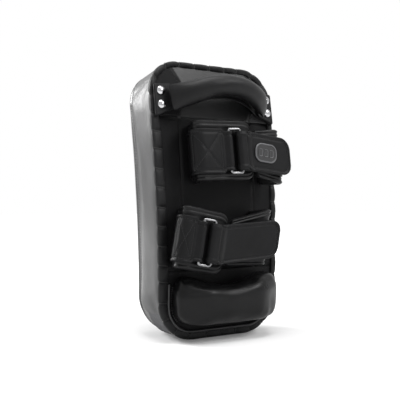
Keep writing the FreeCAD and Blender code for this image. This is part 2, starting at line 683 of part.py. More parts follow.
def make_piping():
    """A leather-covered cord that frames the bumper inside the edge binding."""
    body = new_body("bumper_piping", BUMPER_FRAME)
    seat = "0 - seat_gap - piping_radius"
    low, high = "piping_foot - bumper_height", "piping_top - bumper_height"
    section = draw(new_sketch(body, "XY_Plane", high), many_sided("0 - piping_out", seat, "piping_radius", 8))
    path = draw(new_sketch(body, "XZ_Plane", "seat_gap + piping_radius"),
                [("0 - piping_out", high), ("0 - piping_out", low, "piping_bend"),
                 ("piping_out", low, "piping_bend"), ("piping_out", high)], closed=False)
    sweep(body, section, path)
    keep(body)


# ---------------------------------------------------------------------------------- the straps
# Heights above the back panel, in order outwards.
CUFF_BASE = "arm_room"
STRAP_BASE = f"{CUFF_BASE} + cuff_pad + seat_gap"
STRAP_TOP = f"{STRAP_BASE} + strap_leather"
HINGE_BAR = f"{STRAP_TOP} + seat_gap + ring_wire / 2"
FREE_BAR = f"{STRAP_TOP} + ring_swing + ring_wire / 2"
FOLD_TOP = f"{FREE_BAR} + ring_wire / 2 + ring_swing + strap_leather"
LOOP_PATCH = f"{STRAP_TOP} + seat_gap"
HOOK_PATCH = f"{LOOP_PATCH} + patch_thick + seat_gap"
TAIL_BASE = f"{HOOK_PATCH} + patch_thick + seat_gap"
HALF_STRAP = "strap_width / 2"
TIGHT = "seat_gap / 3"


def side_run(wall, depth, facing):
    """Corners of a line that rises from the back panel, leans outwards and turns level at a strap's outer
    corner, a given depth under its outer face. It faces -1 for a left side and 1 for a right side."""
    spread = f"(({STRAP_TOP} - foot_rise) * tan(wall_lean) + ({depth}))"
    foot = f"{facing} * ({wall} - {spread})"
    knee = f"0 - foot_rise - ({depth}) * tan(wall_lean / 2)"
    corner = f"{facing} * ({wall} - ({depth}) * tan(45 + wall_lean / 2))"
    return [(foot, "0 - seat_gap"), (foot, knee, f"foot_bend + ({depth})"),
            (corner, f"0 - ({STRAP_TOP} - ({depth}))", f"shoulder_bend - ({depth})")]


def strap_section(body, run, thick, low, high):
    """The cross section at the foot of a run, between two widths."""
    foot = run[0][0]
    return draw(new_sketch(body, "XZ_Plane", "seat_gap"),
                rectangle(f"{foot} - ({thick}) / 2", low, f"{foot} + ({thick}) / 2", high))


def make_anchor(side, frame):
    """The left half: a padded cuff with a tongue, and the strap that loops round the ring's bar."""
    cuff = new_body(f"{side}_anchor_cuff", frame)
    buried = "(strap_leather + seat_gap + cuff_pad / 2)"
    low, high = f"{side}_cuff_lift - cuff_width / 2", f"{side}_cuff_lift + cuff_width / 2"
    run = side_run(f"{side}_anchor", buried, -1) + [("tongue_reach", f"0 - ({STRAP_TOP} - {buried})")]
    section = strap_section(cuff, run, "cuff_pad", low, high)
    sweep(cuff, section, draw(new_sketch(cuff, "XY_Plane"), run, closed=False))
    round_tip(cuff, "tongue_reach", "cuff_pad * 2")

    strap = new_body(f"{side}_anchor_strap", frame)
    bend = "(ring_wire / 2 + seat_gap + strap_leather / 2)"
    bottom, top = f"0 - ({STRAP_TOP} - strap_leather / 2)", f"0 - ({HINGE_BAR} + {bend})"
    laid = f"0 - ({STRAP_TOP} + seat_gap + strap_leather / 2)"
    run = side_run(f"{side}_anchor", "strap_leather / 2", -1) + [
        (bend, bottom, f"{bend} - {TIGHT}"), (bend, top, f"{bend} - {TIGHT}"),
        ("0 - ring_wire / 2", top, "ring_wire"), ("0 - 2 * ring_wire", laid, "ring_wire"),
        (f"shoulder_bend - {side}_anchor", laid)]
    section = strap_section(strap, run, "strap_leather", "0 - anchor_width / 2", "anchor_width / 2")
    sweep(strap, section, draw(new_sketch(strap, "XY_Plane"), run, closed=False))
    far, narrow, wide = f"0 - 2 * {side}_anchor", "strap_width / 2", "anchor_width / 2 + seat_gap"
    above = [("tongue_reach", narrow), ("0 - 2 * ring_wire", narrow), ("0 - 3 * ring_wire", wide),
             (far, wide)]
    trim_to(strap, "XZ_Plane", [(x, f"0 - ({y})") for x, y in reversed(above)] + above)
    keep(cuff, strap)


def round_tip(body, reach, radius):
    """Rounds the two corners at the free end of a level stretch."""
    tip = value(reach)
    fillet(body, radius, lambda edge: edge.BoundBox.YLength > 1 and edge.BoundBox.XLength < 0.01
           and abs(edge.CenterOfMass.x - tip) < 0.01)


def make_ring(side, frame):
    """A rectangular ring bent from round wire, hinged on the bar inside the anchor strap's loop."""
    rise = f"({FREE_BAR} - ({HINGE_BAR}))"
    turn = f"rotation(vector(0; 0; 1); asin((0 - {rise}) / ring_reach))"
    body = new_body(f"{side}_ring", f"{frame} * placement(vector(0; 0 - ({HINGE_BAR}); 0); {turn})")
    half = "strap_width / 2 + ring_slack + ring_wire / 2"
    section = circle(new_sketch(body, "XY_Plane"), "0", "0", "ring_wire / 2")
    path = draw(new_sketch(body, "XZ_Plane"),
                [("0", "0"), ("0", half, "ring_corner"), ("ring_reach", half, "ring_corner"),
                 ("ring_reach", f"0 - ({half})", "ring_corner"), ("0", f"0 - ({half})", "ring_corner")])
    sweep(body, section, path)
    keep(body)


def skewed(side, reach, half, spread="0", lift="0"):
    """Outline of a strap that runs on from the fold at its skew, wider and higher at the far end."""
    start, rise = "tail_hinge", f"(({reach}) - tail_hinge) * tan({side}_skew) + ({lift})"
    low, high = f"{rise} - ({half}) - ({spread})", f"{rise} + ({half}) + ({spread})"
    return [("0 - ring_reach", f"0 - ({half})"), (start, f"0 - ({half})"), (reach, low), (reach, high),
            (start, half), ("0 - ring_reach", half)]


def make_return(side, frame):
    """The right half: a padded cuff, and the strap that folds round the ring's free bar."""
    far = f"{side}_return * 1.01"
    tall = f"({side}_return + cuff_width) / 2"
    cuff = new_body(f"{side}_return_cuff", frame)
    buried = "(strap_leather + seat_gap + cuff_pad / 2)"
    run = side_run(f"{side}_return", buried, 1) + [("return_pad_start", f"0 - ({STRAP_TOP} - {buried})")]
    section = strap_section(cuff, run, "cuff_pad", f"0 - {tall}", tall)
    sweep(cuff, section, draw(new_sketch(cuff, "XY_Plane"), run, closed=False))
    growth = "(cuff_width - strap_width) / 2 - ring_wire / 2"
    half = f"{HALF_STRAP} + ring_wire / 2"
    trim_to(cuff, "XZ_Plane", skewed(side, far, half, growth, f"{side}_return_lift"))

    strap = new_body(f"{side}_return_strap", frame)
    middle = "strap_leather / 2"
    fold = f"(ring_wire / 2 + ring_swing + {middle})"
    low, high = f"0 - ({STRAP_TOP} - {middle})", f"0 - ({FOLD_TOP} - {middle})"
    run = side_run(f"{side}_return", middle, 1) + [
        (f"ring_reach - {fold}", low, f"{fold} - {TIGHT}"),
        (f"ring_reach - {fold}", high, f"{fold} - {TIGHT}"), ("tail_hinge - seat_gap", high)]
    section = strap_section(strap, run, "strap_leather", f"0 - {tall}", tall)
    sweep(strap, section, draw(new_sketch(strap, "XY_Plane"), run, closed=False))
    trim_to(strap, "XZ_Plane", skewed(side, far, HALF_STRAP))
    patch = flat_patch(f"{side}_loop_patch", frame, side, LOOP_PATCH, f"{side}_return - 2 * shoulder_bend")
    keep(cuff, strap, patch)


def flat_patch(label, frame, side, level, reach):
    """A hook or loop patch lying at a level, between the fold and a given reach."""
    body = new_body(label, frame)
    half = f"{HALF_STRAP} - patch_inset"
    start = "return_pad_start + patch_inset"
    lean = f"tan({side}_skew)"
    rises = [f"(({spot}) - tail_hinge) * {lean}" for spot in (start, reach)]
    outline = [(start, f"{rises[0]} - ({half})"), (reach, f"{rises[1]} - ({half})"),
               (reach, f"{rises[1]} + {half}"), (start, f"{rises[0]} + {half}")]
    pad(body, draw(new_sketch(body, "XZ_Plane", level), outline), "patch_thick")
    return body


def make_tail(side, frame):
    """The tail that peels away: it lies on the return strap by its hook patch."""
    tail = new_body(f"{side}_tail", frame)
    reach = f"{side}_tail"
    middle = "strap_leather / 2"
    tall = f"({side}_return + strap_width) / 2"
    section = draw(new_sketch(tail, "YZ_Plane", reach),
                   rectangle(f"0 - ({TAIL_BASE}) - strap_leather", f"0 - {tall}", f"0 - ({TAIL_BASE})", tall))
    level, high = f"0 - ({TAIL_BASE} + {middle})", f"0 - ({FOLD_TOP} - {middle})"
    run = [(reach, level), ("tail_hinge + 8.5", level, "tail_bend"),
           ("tail_hinge + 2.5", high, "tail_bend"), ("tail_hinge + seat_gap / 2", high)]
    sweep(tail, section, draw(new_sketch(tail, "XY_Plane"), run, closed=False))
    outline = skewed(side, reach, HALF_STRAP)
    outline[2:4] = [corner + ("strap_width * 0.3",) for corner in outline[2:4]]
    trim_to(tail, "XZ_Plane", outline)
    patch = flat_patch(f"{side}_hook_patch", frame, side, HOOK_PATCH, f"{reach} - strap_width * 0.3")
    keep(tail, patch)


def make_badge(frame):
    """A plain ribbed rubber badge with a raised rim, sewn to the upper tail."""
    badge = new_body("upper_badge", frame)
    base = f"{TAIL_BASE} + strap_leather + seat_gap"
    rise = "(badge_place - tail_hinge) * tan(upper_skew)"

    def oval(inset):
        half, tall = f"badge_long / 2 - ({inset})", f"badge_tall / 2 - ({inset})"
        left, right = f"badge_place - ({half})", f"badge_place + ({half})"
        low, high, bend = f"{rise} - ({tall})", f"{rise} + ({tall})", f"({tall}) * 0.96"
        return [(left, low, bend), (right, low, bend), (right, high, bend), (left, high, bend)]

    plate = pad(badge, draw(new_sketch(badge, "XZ_Plane", base), oval("0")), "badge_thick / 2")
    rim = draw(new_sketch(badge, "XZ_Plane", f"{base} + badge_thick / 2"), oval("0"))
    draw(rim, oval("badge_rim"))
    pad(badge, rim, "badge_thick / 2")
    for level in (-1, 0, 1):
        middle = f"{rise} + {level} * badge_tall / 5"
        rib = draw(new_sketch(badge, "XZ_Plane", f"{base} + badge_thick / 2"),
                   rectangle("badge_place - badge_long / 4", f"{middle} - badge_ribs / 2",
                             "badge_place + badge_long / 4", f"{middle} + badge_ribs / 2"))
        pad(badge, rib, "badge_thick / 4")
    keep(badge)


# ------------------------------------------------------------------------------- build and save
def settle_origin():
    """Puts the origin under the middle of the finished pad, front to back."""
    reaches = [point.y for node in nodes for point in node.Shape.tessellate(0.1)[0]]
    cell = sheet.getCellFromAlias("origin_shift")
    sheet.set(cell, str(round(value("origin_shift") + (min(reaches) + max(reaches)) / 2, 2)))
    doc.recompute()


def check():
    for item in doc.Objects:
        if "Invalid" in item.State or "Error" in item.State:
            raise RuntimeError(f"{item.Label} failed: {item.State}")
        if item.isDerivedFrom("Sketcher::SketchObject") and not item.FullyConstrained:
            raise RuntimeError(f"{item.Label} is loose")
    for node in nodes:
        if node.Shape.isNull() or not node.Shape.isValid() or not node.Shape.Solids:
            raise RuntimeError(f"{node.Label} has no sound shape")


def save():
    os.makedirs("parts", exist_ok=True)
    for node in nodes:
        node.Shape.exportStep(f"parts/{node.Label}.step")


fill_sheet()
rivet_holes, burr_recesses = make_rivets()
make_cover()
make_fillings(rivet_holes, burr_recesses)
make_back_panels(rivet_holes)
make_binding()
make_handle_strap(rivet_holes)
make_end_tabs(rivet_holes)
make_grip_roll()
make_bumper()
make_piping()
for side in ("upper", "lower"):
    strap_frame = frame_on_back(f"{side}_x", f"{side}_z", f"{side}_tilt")
    make_anchor(side, strap_frame)
    make_ring(side, strap_frame)
    make_return(side, strap_frame)
    make_tail(side, strap_frame)
make_badge(frame_on_back("upper_x", "upper_z", "upper_tilt"))
doc.recompute()
settle_origin()
check()
save()
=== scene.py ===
"""Dresses the packed thai pad: leather covers, padded cuffs, stitched straps, steel rings and a studio."""

import math

import bmesh
import bpy
from mathutils import Matrix, Vector, noise
from mathutils.bvhtree import BVHTree


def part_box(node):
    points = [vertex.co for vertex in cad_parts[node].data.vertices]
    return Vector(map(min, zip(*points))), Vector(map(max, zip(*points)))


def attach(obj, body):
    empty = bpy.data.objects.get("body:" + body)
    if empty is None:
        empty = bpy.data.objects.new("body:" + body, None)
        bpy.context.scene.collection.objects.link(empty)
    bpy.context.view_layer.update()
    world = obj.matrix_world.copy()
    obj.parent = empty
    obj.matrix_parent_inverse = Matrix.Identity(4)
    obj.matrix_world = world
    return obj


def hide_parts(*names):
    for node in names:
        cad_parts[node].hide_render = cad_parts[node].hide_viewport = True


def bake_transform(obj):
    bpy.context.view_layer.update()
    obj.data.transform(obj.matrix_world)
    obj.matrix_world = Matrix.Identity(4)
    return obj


bl_info = {
    "name": "Thai pad",
    "version": (1, 0, 0),
    "blender": (4, 5, 0),
    "location": "View3D > Sidebar > Thai Pad",
    "description": "Leather, padding, stitching and steel for a bowed thai pad",
    "category": "Add Mesh",
}

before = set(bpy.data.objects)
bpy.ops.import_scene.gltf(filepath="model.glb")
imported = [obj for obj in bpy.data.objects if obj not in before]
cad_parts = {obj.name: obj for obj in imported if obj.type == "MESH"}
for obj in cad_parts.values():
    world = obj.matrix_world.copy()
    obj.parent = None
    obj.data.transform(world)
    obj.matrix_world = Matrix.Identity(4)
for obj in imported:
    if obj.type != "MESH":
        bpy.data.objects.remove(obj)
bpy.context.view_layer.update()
MM = 0.001
OUTWARD = Vector((0, -1, 0))
# How thick the leather of the cover and of the back panels is.
COVER_LEATHER, PANEL_LEATHER = 1.6 * MM, 1.4 * MM
# The upright part of the back face stands this far in front of the origin.
BACK = -float(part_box("forearm_panel")[0][1])


# ------------------------------------------------------------------------------- properties
def length(name, millimetres, description):
    return bpy.props.FloatProperty(name=name, description=description, default=millimetres * MM,
                                   unit="LENGTH", subtype="DISTANCE")


def slope(name, degrees, description):
    return bpy.props.FloatProperty(name=name, description=description, default=math.radians(degrees),
                                   unit="ROTATION", subtype="ANGLE")


def share(name, value, description):
    return bpy.props.FloatProperty(name=name, description=description, default=value, subtype="FACTOR")


def colour(name, grey, description):
    return bpy.props.FloatVectorProperty(name=name, description=description, size=4, min=0, max=1,
                                         default=(grey, grey, grey * 1.06, 1), subtype="COLOR")


class PadSizes(bpy.types.PropertyGroup):
    height: length("Height", 390, "Floor to top edge")
    top_width: length("Top width", 207, "Across the gusset at the top")
    foot_width: length("Foot width", 192, "Across the gusset at the floor")
    depth: length("Depth", 91, "Back panels to strike face")
    bow_radius: length("Bow radius", 1540, "Radius of the back face seen from the side")
    bow_level: length("Bow level", 99, "Height where the back face is upright")
    corner: length("Corner radius", 48, "Upper corners of the pad seen from the back")
    foot_corner: length("Foot radius", 53, "Lower corners of the pad seen from the back")
    edge_round: length("Strike edge", 20, "Rounding where gusset and strike face meet")
    side_slope: share("Side slope", 0.07, "How fast the sides close in towards the strike face")
    top_slope: share("Top slope", 0.095, "How fast the top falls towards the strike face")
    panel_seam: length("Side seams", 62, "Side seams of the forearm panel, from the middle")
    panel_top: length("Crown seam", 309, "Seam between forearm panel and crown")
    panel_foot: length("Base seam", 96, "Seam between forearm panel and base panel")
    binding: length("Binding width", 12.5, "Width of the rolled edge on the back")
    pucker: length("Binding pucker", 26, "From one pucker of the binding to the next")


class GripSizes(bpy.types.PropertyGroup):
    height: length("Height", 332.5, "Middle of the rivets above the floor")
    span: length("Half span", 101, "Half length of the handle strap")
    tab_inner: length("Tab edge", 74, "Inner edge of the end tabs, from the middle")
    slope: slope("Slope", 31.5, "How steeply the handle strap leaves the tabs")
    arch: length("Arch", 108, "Radius of the handle strap seen from above")
    seat: length("Seat", 3.3, "Underside of the handle strap's ends above the back panels")


class BumperSizes(bpy.types.PropertyGroup):
    height: length("Height", 54, "Middle of the bumper above the floor")
    piping_out: length("Piping", 85.5, "Piping from the middle of the pad")
    piping_foot: length("Piping foot", 12.5, "Piping above the floor")
    piping_top: length("Piping ends", 80, "Upper ends of the piping above the floor")
    piping_bend: length("Piping bend", 38, "Corner radius of the piping")


class LayerSizes(bpy.types.PropertyGroup):
    leather: length("Strap leather", 2.6, "Thickness of the straps")
    gap: length("Clearance", 0.3, "Between pieces that lie on each other")
    strap_width: length("Strap width", 54, "Where a strap passes its ring")
    anchor_width: length("Anchor width", 62, "Stitched part of an anchor strap")
    cuff_width: length("Cuff width", 85, "Padded cuffs")
    cuff_pad: length("Cuff padding", 7, "Thickness of the padded cuffs")
    arm_room: length("Forearm room", 31, "Back panel to the underside of the cuffs")
    wall_lean: slope("Wall lean", 24, "How far a strap's side leans outwards")
    shoulder: length("Shoulder bend", 11, "Bend of a strap's outer corners")
    tongue: length("Tongue", 43, "Cuff tongue beyond the ring's hinge bar")
    wire: length("Ring wire", 4, "Diameter of the ring's wire")
    ring_reach: length("Ring reach", 18, "Between the ring's long bars")
    swing: length("Ring swing", 2.2, "Room for the ring's free bar inside the fold")
    tail_hinge: length("Tail hinge", 27, "Where the tail starts to peel")
    return_pad: length("Return pad", 47, "Inner end of the return cuff")
    patch: length("Patch", 2.4, "Thickness of the hook and loop patches")
    stitch_pitch: length("Stitch pitch", 3.4, "From one stitch to the next")
    thread: length("Thread", 0.62, "Thickness of the sewing thread")


def strap_sizes(title, x, z, tilt, skew, anchor, far, tail, cuff_lift, return_lift):
    """The property group of one forearm strap; lengths in mm and slopes in degrees."""
    return type(title, (bpy.types.PropertyGroup,), {"__annotations__": {
        "x": length("Sideways", x, "Hinge bar from the middle of the pad"),
        "z": length("Height", z, "Ring above the floor"),
        "tilt": slope("Tilt", tilt, "The strap's fall to the right"),
        "skew": slope("Skew", skew, "Rise of the tail against its strap"),
        "anchor": length("Anchor side", anchor, "Left side of the strap from the hinge bar"),
        "far": length("Return side", far, "Right side of the strap from the hinge bar"),
        "tail": length("Tail end", tail, "End of the tail from the hinge bar"),
        "cuff_lift": length("Cuff lift", cuff_lift, "Cuff's middle above its strap's"),
        "return_lift": length("Return lift", return_lift, "End of the return cuff above its strap's"),
    }})


UpperStrap = strap_sizes("UpperStrap", -7.4, 257, -2, -8, 57, 103, 102, 2, 2)
LowerStrap = strap_sizes("LowerStrap", -60, 138, 11, 14, 35, 125.5, 126, 2.5, 4)


class Finishes(bpy.types.PropertyGroup):
    cover: colour("Cover", 0.012, "Smooth leather of gusset and strike face")
    bolster: colour("Bumper", 0.004, "Smooth leather of the bumper")
    back: colour("Back panels", 0.005, "Matt leather of the back panels")
    binding: colour("Binding", 0.005, "Rolled edge and piping")
    strap: colour("Straps", 0.007, "Strap leather")
    cuff: colour("Cuffs", 0.006, "Leather over the padding")
    thread: colour("Thread", 0.03, "Sewing thread")
    lace: colour("Lace", 0.006, "Lacing of the rolled edge")
    # Paler than the plate: partly the raised outline's own grey and partly a painted highlight on it.
    rim: colour("Badge rim", 0.11, "Raised outline of the blank badge")
    pressure: share("Stuffing", 4.0, "Pressure that puffs the padded pieces")


class Studio(bpy.types.PropertyGroup):
    azimuth: slope("Azimuth", -33.5, "Camera to the left of straight behind the holder")
    distance: length("Distance", 1062, "Camera to the pad's middle")
    level: length("Level", 194.1, "Height of the camera")
    target_depth: length("Target depth", 51.2, "Point looked at, behind the upright part of the back")
    lens: bpy.props.FloatProperty(name="Lens", description="Focal length", default=64.7, unit="CAMERA")


GROUPS = {"pad": PadSizes, "grip": GripSizes, "bumper": BumperSizes, "layers": LayerSizes,
          "upper": UpperStrap, "lower": LowerStrap, "finish": Finishes, "studio": Studio}


class ThaiPad(bpy.types.PropertyGroup):
    pad: bpy.props.PointerProperty(type=PadSizes, name="Pad", description="Sizes of the padded body")
    grip: bpy.props.PointerProperty(type=GripSizes, name="Grip", description="Sizes of the handle")
    bumper: bpy.props.PointerProperty(type=BumperSizes, name="Bumper", description="Sizes of the bumper roll")
    layers: bpy.props.PointerProperty(type=LayerSizes, name="Layers", description="Straps, cuffs and rings")
    upper: bpy.props.PointerProperty(type=UpperStrap, name="Upper strap", description="Upper strap's sizes")
    lower: bpy.props.PointerProperty(type=LowerStrap, name="Lower strap", description="Lower strap's sizes")
    finish: bpy.props.PointerProperty(type=Finishes, name="Finish", description="Colours and stuffing")
    studio: bpy.props.PointerProperty(type=Studio, name="Studio", description="Camera")


def settings():
    return bpy.context.scene.thai_pad


# ---------------------------------------------------------------------------------- places
def back_y(z):
    """The back face at a height."""
    pad = settings().pad
    return pad.bow_radius - math.sqrt(pad.bow_radius ** 2 - (z - pad.bow_level) ** 2) - BACK


def on_back(x, z, tilt=0.0):
    """A place on the back face: local -Y stands out of it and local Z runs up it."""
    pad = settings().pad
    lean = Matrix.Rotation(math.asin((pad.bow_level - z) / pad.bow_radius), 4, "X")
    return Matrix.Translation((x, back_y(z), z)) @ lean @ Matrix.Rotation(tilt, 4, "Y")


def strap_place(side):
    """The place of a strap's hinge bar on the back face, tilted with the strap."""
    strap = getattr(settings(), side)
    return on_back(strap.x, strap.z, strap.tilt)


# ---------------------------------------------------------------------------- mesh helpers
def put_in_order(items):
    """Sorts points, edges or faces by where they are, so that the stuffing puffs them alike each time."""
    def place(item):
        points = [vert.co for vert in getattr(item, "verts", [item])]
        return [round(sum(axis) / len(points), 7) for axis in zip(*points)]
    rank = {item: i for i, item in enumerate(sorted(items, key=place))}
    items.sort(key=lambda item: rank[item])


def finish_mesh(bm, name, title, smooth=True, merge=1e-6):
    """Turns a bmesh into a piece of one material, with its faces pointing outwards."""
    if merge:
        bmesh.ops.remove_doubles(bm, verts=bm.verts, dist=merge)
    bmesh.ops.recalc_face_normals(bm, faces=bm.faces)
    for items in (bm.verts, bm.edges, bm.faces):
        put_in_order(items)
    mesh = bpy.data.meshes.new(name)
    bm.to_mesh(mesh)
    bm.free()
    for face in mesh.polygons:
        face.use_smooth = smooth
    mesh.materials.append(materials()[title])
    piece = bpy.data.objects.new(name, mesh)
    bpy.context.scene.collection.objects.link(piece)
    return piece


def subdivide(piece):
    """Rounds a piece's faces by one subdivision."""
    modifier = piece.modifiers.new("Subdivision", "SUBSURF")
    modifier.levels = modifier.render_levels = 1
    return piece


def thicken(piece, thickness):
    """Gives an open skin its leather's thickness, inwards."""
    modifier = piece.modifiers.new("Thickness", "SOLIDIFY")
    modifier.thickness, modifier.offset = thickness, -1
    return piece


def bent_line(corners, step, arc=7):
    """Stations (point, heading) along a flat line whose corners (u, d, radius) are rounded."""
    stations = []

    def straight(start, end):
        heading = (end - start).normalized()
        count = max(1, math.ceil((end - start).length / step))
        stations.extend((start.lerp(end, i / count), heading) for i in range(count))

    points = [Vector(corner[:2]) for corner in corners]
    last = points[0]
    for i in range(1, len(points)):
        here = points[i]
        if i == len(points) - 1 or len(corners[i]) < 3:
            straight(last, here)
            last = here
            continue
        before, after = (here - points[i - 1]).normalized(), (points[i + 1] - here).normalized()
        turn = math.atan2(before.cross(after), before.dot(after))
        radius = corners[i][2]
        reach = radius * math.tan(abs(turn) / 2)
        start, aside = here - before * reach, Vector((-before.y, before.x)) * math.copysign(radius, turn)
        straight(last, start)
        for k in range(arc):
            spin = Matrix.Rotation(turn * k / arc, 2)
            stations.append((start + aside - spin @ aside, spin @ before))
        last = here + after * reach
    stations.append((last, (points[-1] - points[-2]).normalized()))
    return stations


def ramp(value, low, high):
    """Rises smoothly from 0 to 1 between two values."""
    part = max(0.0, min(1.0, (value - low) / (high - low)))
    return part * part * (3 - 2 * part)


def closest_on(spot, start, end):
    """The point of a straight seam that is nearest to a spot."""
    run = end - start
    return start + run * max(0.0, min(1.0, (spot - start).dot(run) / run.length_squared))


def rounded_peak(x, half, rise, radius):
    """Height of a low gable with a rounded ridge."""
    pitch = rise / half
    flat = radius * math.sin(math.atan(pitch))
    if abs(x) > flat:
        return rise - pitch * abs(x)
    return rise - pitch * flat + math.sqrt(radius ** 2 - x * x) - math.sqrt(radius ** 2 - flat ** 2)


def oriented(across, out, along):
    """A turn whose local axes are the three given ones."""
    return Matrix((across, out, along)).transposed().to_4x4()


def extrude_rim(bm, rim, move):
    """Grows walls from an open rim and moves their new edge, which is returned."""
    made = bmesh.ops.extrude_edge_only(bm, edges=rim)["geom"]
    verts = {item for item in made if isinstance(item, bmesh.types.BMVert)}
    bmesh.ops.transform(bm, matrix=move, verts=list(verts))
    return [item for item in made if isinstance(item, bmesh.types.BMEdge) and set(item.verts) <= verts]


def sweep(bm, section, places, closed=False):
    """Carries a section along a row of places, then joins the ends or caps them."""
    verts = [bm.verts.new(places[0] @ Vector((a, h, 0))) for a, h in section]
    first = rim = [bm.edges.new((verts[i - 1], verts[i])) for i in range(len(verts))]
    for before, after in zip(places, places[1:]):
        rim = extrude_rim(bm, rim, after @ before.inverted())
    if closed:
        bmesh.ops.bridge_loops(bm, edges=first + rim)
    else:
        bmesh.ops.contextual_create(bm, geom=first)
        bmesh.ops.contextual_create(bm, geom=rim)
    return bm


def round_section(radius, count):
    """A round section of so many points."""
    return [(math.cos(turn) * radius, math.sin(turn) * radius)
            for turn in (2 * math.pi * k / count for k in range(count))]


def crumple(bm, amount, scale, stretch=(1, 1, 1)):
    """Small uneven folds: every point moves along its normal by a smooth noise."""
    bm.normal_update()
    for vert in bm.verts:
        spot = Vector(c * s for c, s in zip(vert.co, stretch))
        vert.co += vert.normal * noise.noise(spot / scale) * amount


def relax(bm, times):
    """Evens out a mesh by drawing every point halfway to its neighbours."""
    for _ in range(times):
        bmesh.ops.smooth_vert(bm, verts=bm.verts, factor=0.5,
                              **{"use_axis_" + axis: True for axis in "xyz"})


def edit(piece, *steps):
    """Runs steps on a piece's mesh."""
    bm = bmesh.new()
    bm.from_mesh(piece.data)
    bm.normal_update()
    for step in steps:
        step(bm)
    bm.to_mesh(piece.data)
    bm.free()


def cut(bm, spot, normal, clear=False):
    """Cuts everything by a plane, and clears what lies beyond it if asked."""
    bmesh.ops.bisect_plane(bm, geom=bm.verts[:] + bm.edges[:] + bm.faces[:], dist=1e-6, plane_co=spot,
                           plane_no=normal, clear_outer=clear)


def slice_up(bm, axis, low, high, step):
    """Cuts across everything at even steps."""
    normal = Vector((0, 0, 0))
    normal["xyz".index(axis)] = 1
    count = round((high - low) / step)
    for i in range(1, count):
        spot = normal * (low + (high - low) * i / count)
        cut(bm, spot, normal)


def inflate(piece, pressure, cap, held=(), frames=20):
    """Puffs a closed piece like a stuffed cover, moving no point further than the cap."""
    rest = [vert.co.copy() for vert in piece.data.vertices]
    cloth = piece.modifiers.new("Stuffing", "CLOTH")
    cloth.settings.quality = 5
    cloth.settings.mass = 0.3
    cloth.settings.tension_stiffness = cloth.settings.compression_stiffness = 25
    cloth.settings.shear_stiffness = 15
    cloth.settings.bending_stiffness = 2
    cloth.settings.use_pressure = True
    cloth.settings.uniform_pressure_force = pressure
    cloth.settings.effector_weights.gravity = 0
    cloth.collision_settings.use_collision = False
    if held:
        group = piece.vertex_groups.new(name="held")
        group.add(held, 1.0, "REPLACE")
        cloth.settings.vertex_group_mass = "held"
    cloth.point_cache.frame_start, cloth.point_cache.frame_end = 1, frames
    scene = bpy.context.scene
    for number in range(1, frames + 1):
        scene.frame_set(number)
    puffed = piece.evaluated_get(bpy.context.evaluated_depsgraph_get()).data
    moved = [vert.co.copy() for vert in puffed.vertices]
    piece.modifiers.remove(cloth)
    piece.vertex_groups.clear()
    for vert, start, end in zip(piece.data.vertices, rest, moved):
        shift = end - start
        vert.co = start + shift * min(1.0, cap / max(shift.length, 1e-9))
    scene.frame_set(1)
    return piece


def remesh(piece, size):
    """Rebuilds a piece from voxels, as one even closed skin."""
    modifier = piece.modifiers.new("Remesh", "REMESH")
    modifier.mode, modifier.voxel_size = "VOXEL", size
    modifier.use_smooth_shade = True
    mesh = bpy.data.meshes.new_from_object(piece.evaluated_get(bpy.context.evaluated_depsgraph_get()))
    piece.modifiers.clear()
    material = piece.data.materials[0]
    piece.data = mesh
    mesh.materials.clear()
    mesh.materials.append(material)
    for face in mesh.polygons:
        face.use_smooth = True


def outer_skin(name, title, node):
    """A merged copy of the outermost shell of a hollow CAD solid, as the start of a soft form."""
    bm = bmesh.new()
    bm.from_mesh(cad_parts[node].data)
    bmesh.ops.remove_doubles(bm, verts=bm.verts, dist=1e-5)
    lowest = min(bm.verts, key=lambda vert: vert.co.y)
    shell, edge = {lowest}, [lowest]
    while edge:
        near = {link.other_vert(vert) for vert in edge for link in vert.link_edges} - shell
        shell |= near
        edge = list(near)
    bmesh.ops.delete(bm, geom=[vert for vert in bm.verts if vert not in shell], context="VERTS")
    return finish_mesh(bm, name, title)


def stitch_row(bm, line, pitch=None, thickness=None):
    """Small thread beads along a line of (point, outward normal), sewn like a strap's unless given."""
    pitch = pitch or settings().layers.stitch_pitch
    thickness = thickness or settings().layers.thread
    left = pitch / 2
    for (start, out), (end, _) in zip(line, line[1:]):
        run = (end - start).length
        along = (end - start).normalized() if run > 1e-9 else None
        while along and left <= run:
            across = out.cross(along).normalized()
            place = Matrix.Translation(start + along * left) @ oriented(across, along, across.cross(along))
            size = Matrix.Diagonal((thickness / 2, pitch * 0.36, thickness / 2, 1))
            bmesh.ops.create_uvsphere(bm, u_segments=6, v_segments=4, radius=1, matrix=place @ size)
            left += pitch
        left -= run


def sew(rows, name, slot, title="Bonded thread"):
    """Turns rows of stitches into a piece that rides on the pad."""
    return ride(finish_mesh(rows, name, title, merge=0), "pad", slot)


def ride(piece, body, slot, *nodes, fill=None):
    """Puts a piece on its body and in its slot, in place of the packed nodes that it stands for."""
    if nodes:
        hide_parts(*nodes)
    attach(piece, body)
    return piece


# -------------------------------------------------------------------------------- materials
def feed(tree, node, inputs):
    """Gives a node's inputs their values, or links them to sockets."""
    for name, value in inputs.items():
        if isinstance(value, bpy.types.NodeSocket):
            tree.links.new(value, node.inputs[name])
        else:
            node.inputs[name].default_value = value
    return node


def add(tree, kind, settings=None, inputs=None):
    node = tree.nodes.new(kind)
    for name, value in (settings or {}).items():
        setattr(node, name, value)
    return feed(tree, node, inputs or {})


def maths(tree, operation, *values):
    return add(tree, "ShaderNodeMath", {"operation": operation}, dict(enumerate(values))).outputs[0]


def object_spot(tree):
    return add(tree, "ShaderNodeTexCoord").outputs["Object"]


def speckle(tree, where, scale, detail, **more):
    """Smooth noise of a scale."""
    inputs = {"Vector": where, "Scale": scale, "Detail": detail, **more}
    return add(tree, "ShaderNodeTexNoise", None, inputs).outputs["Fac"]


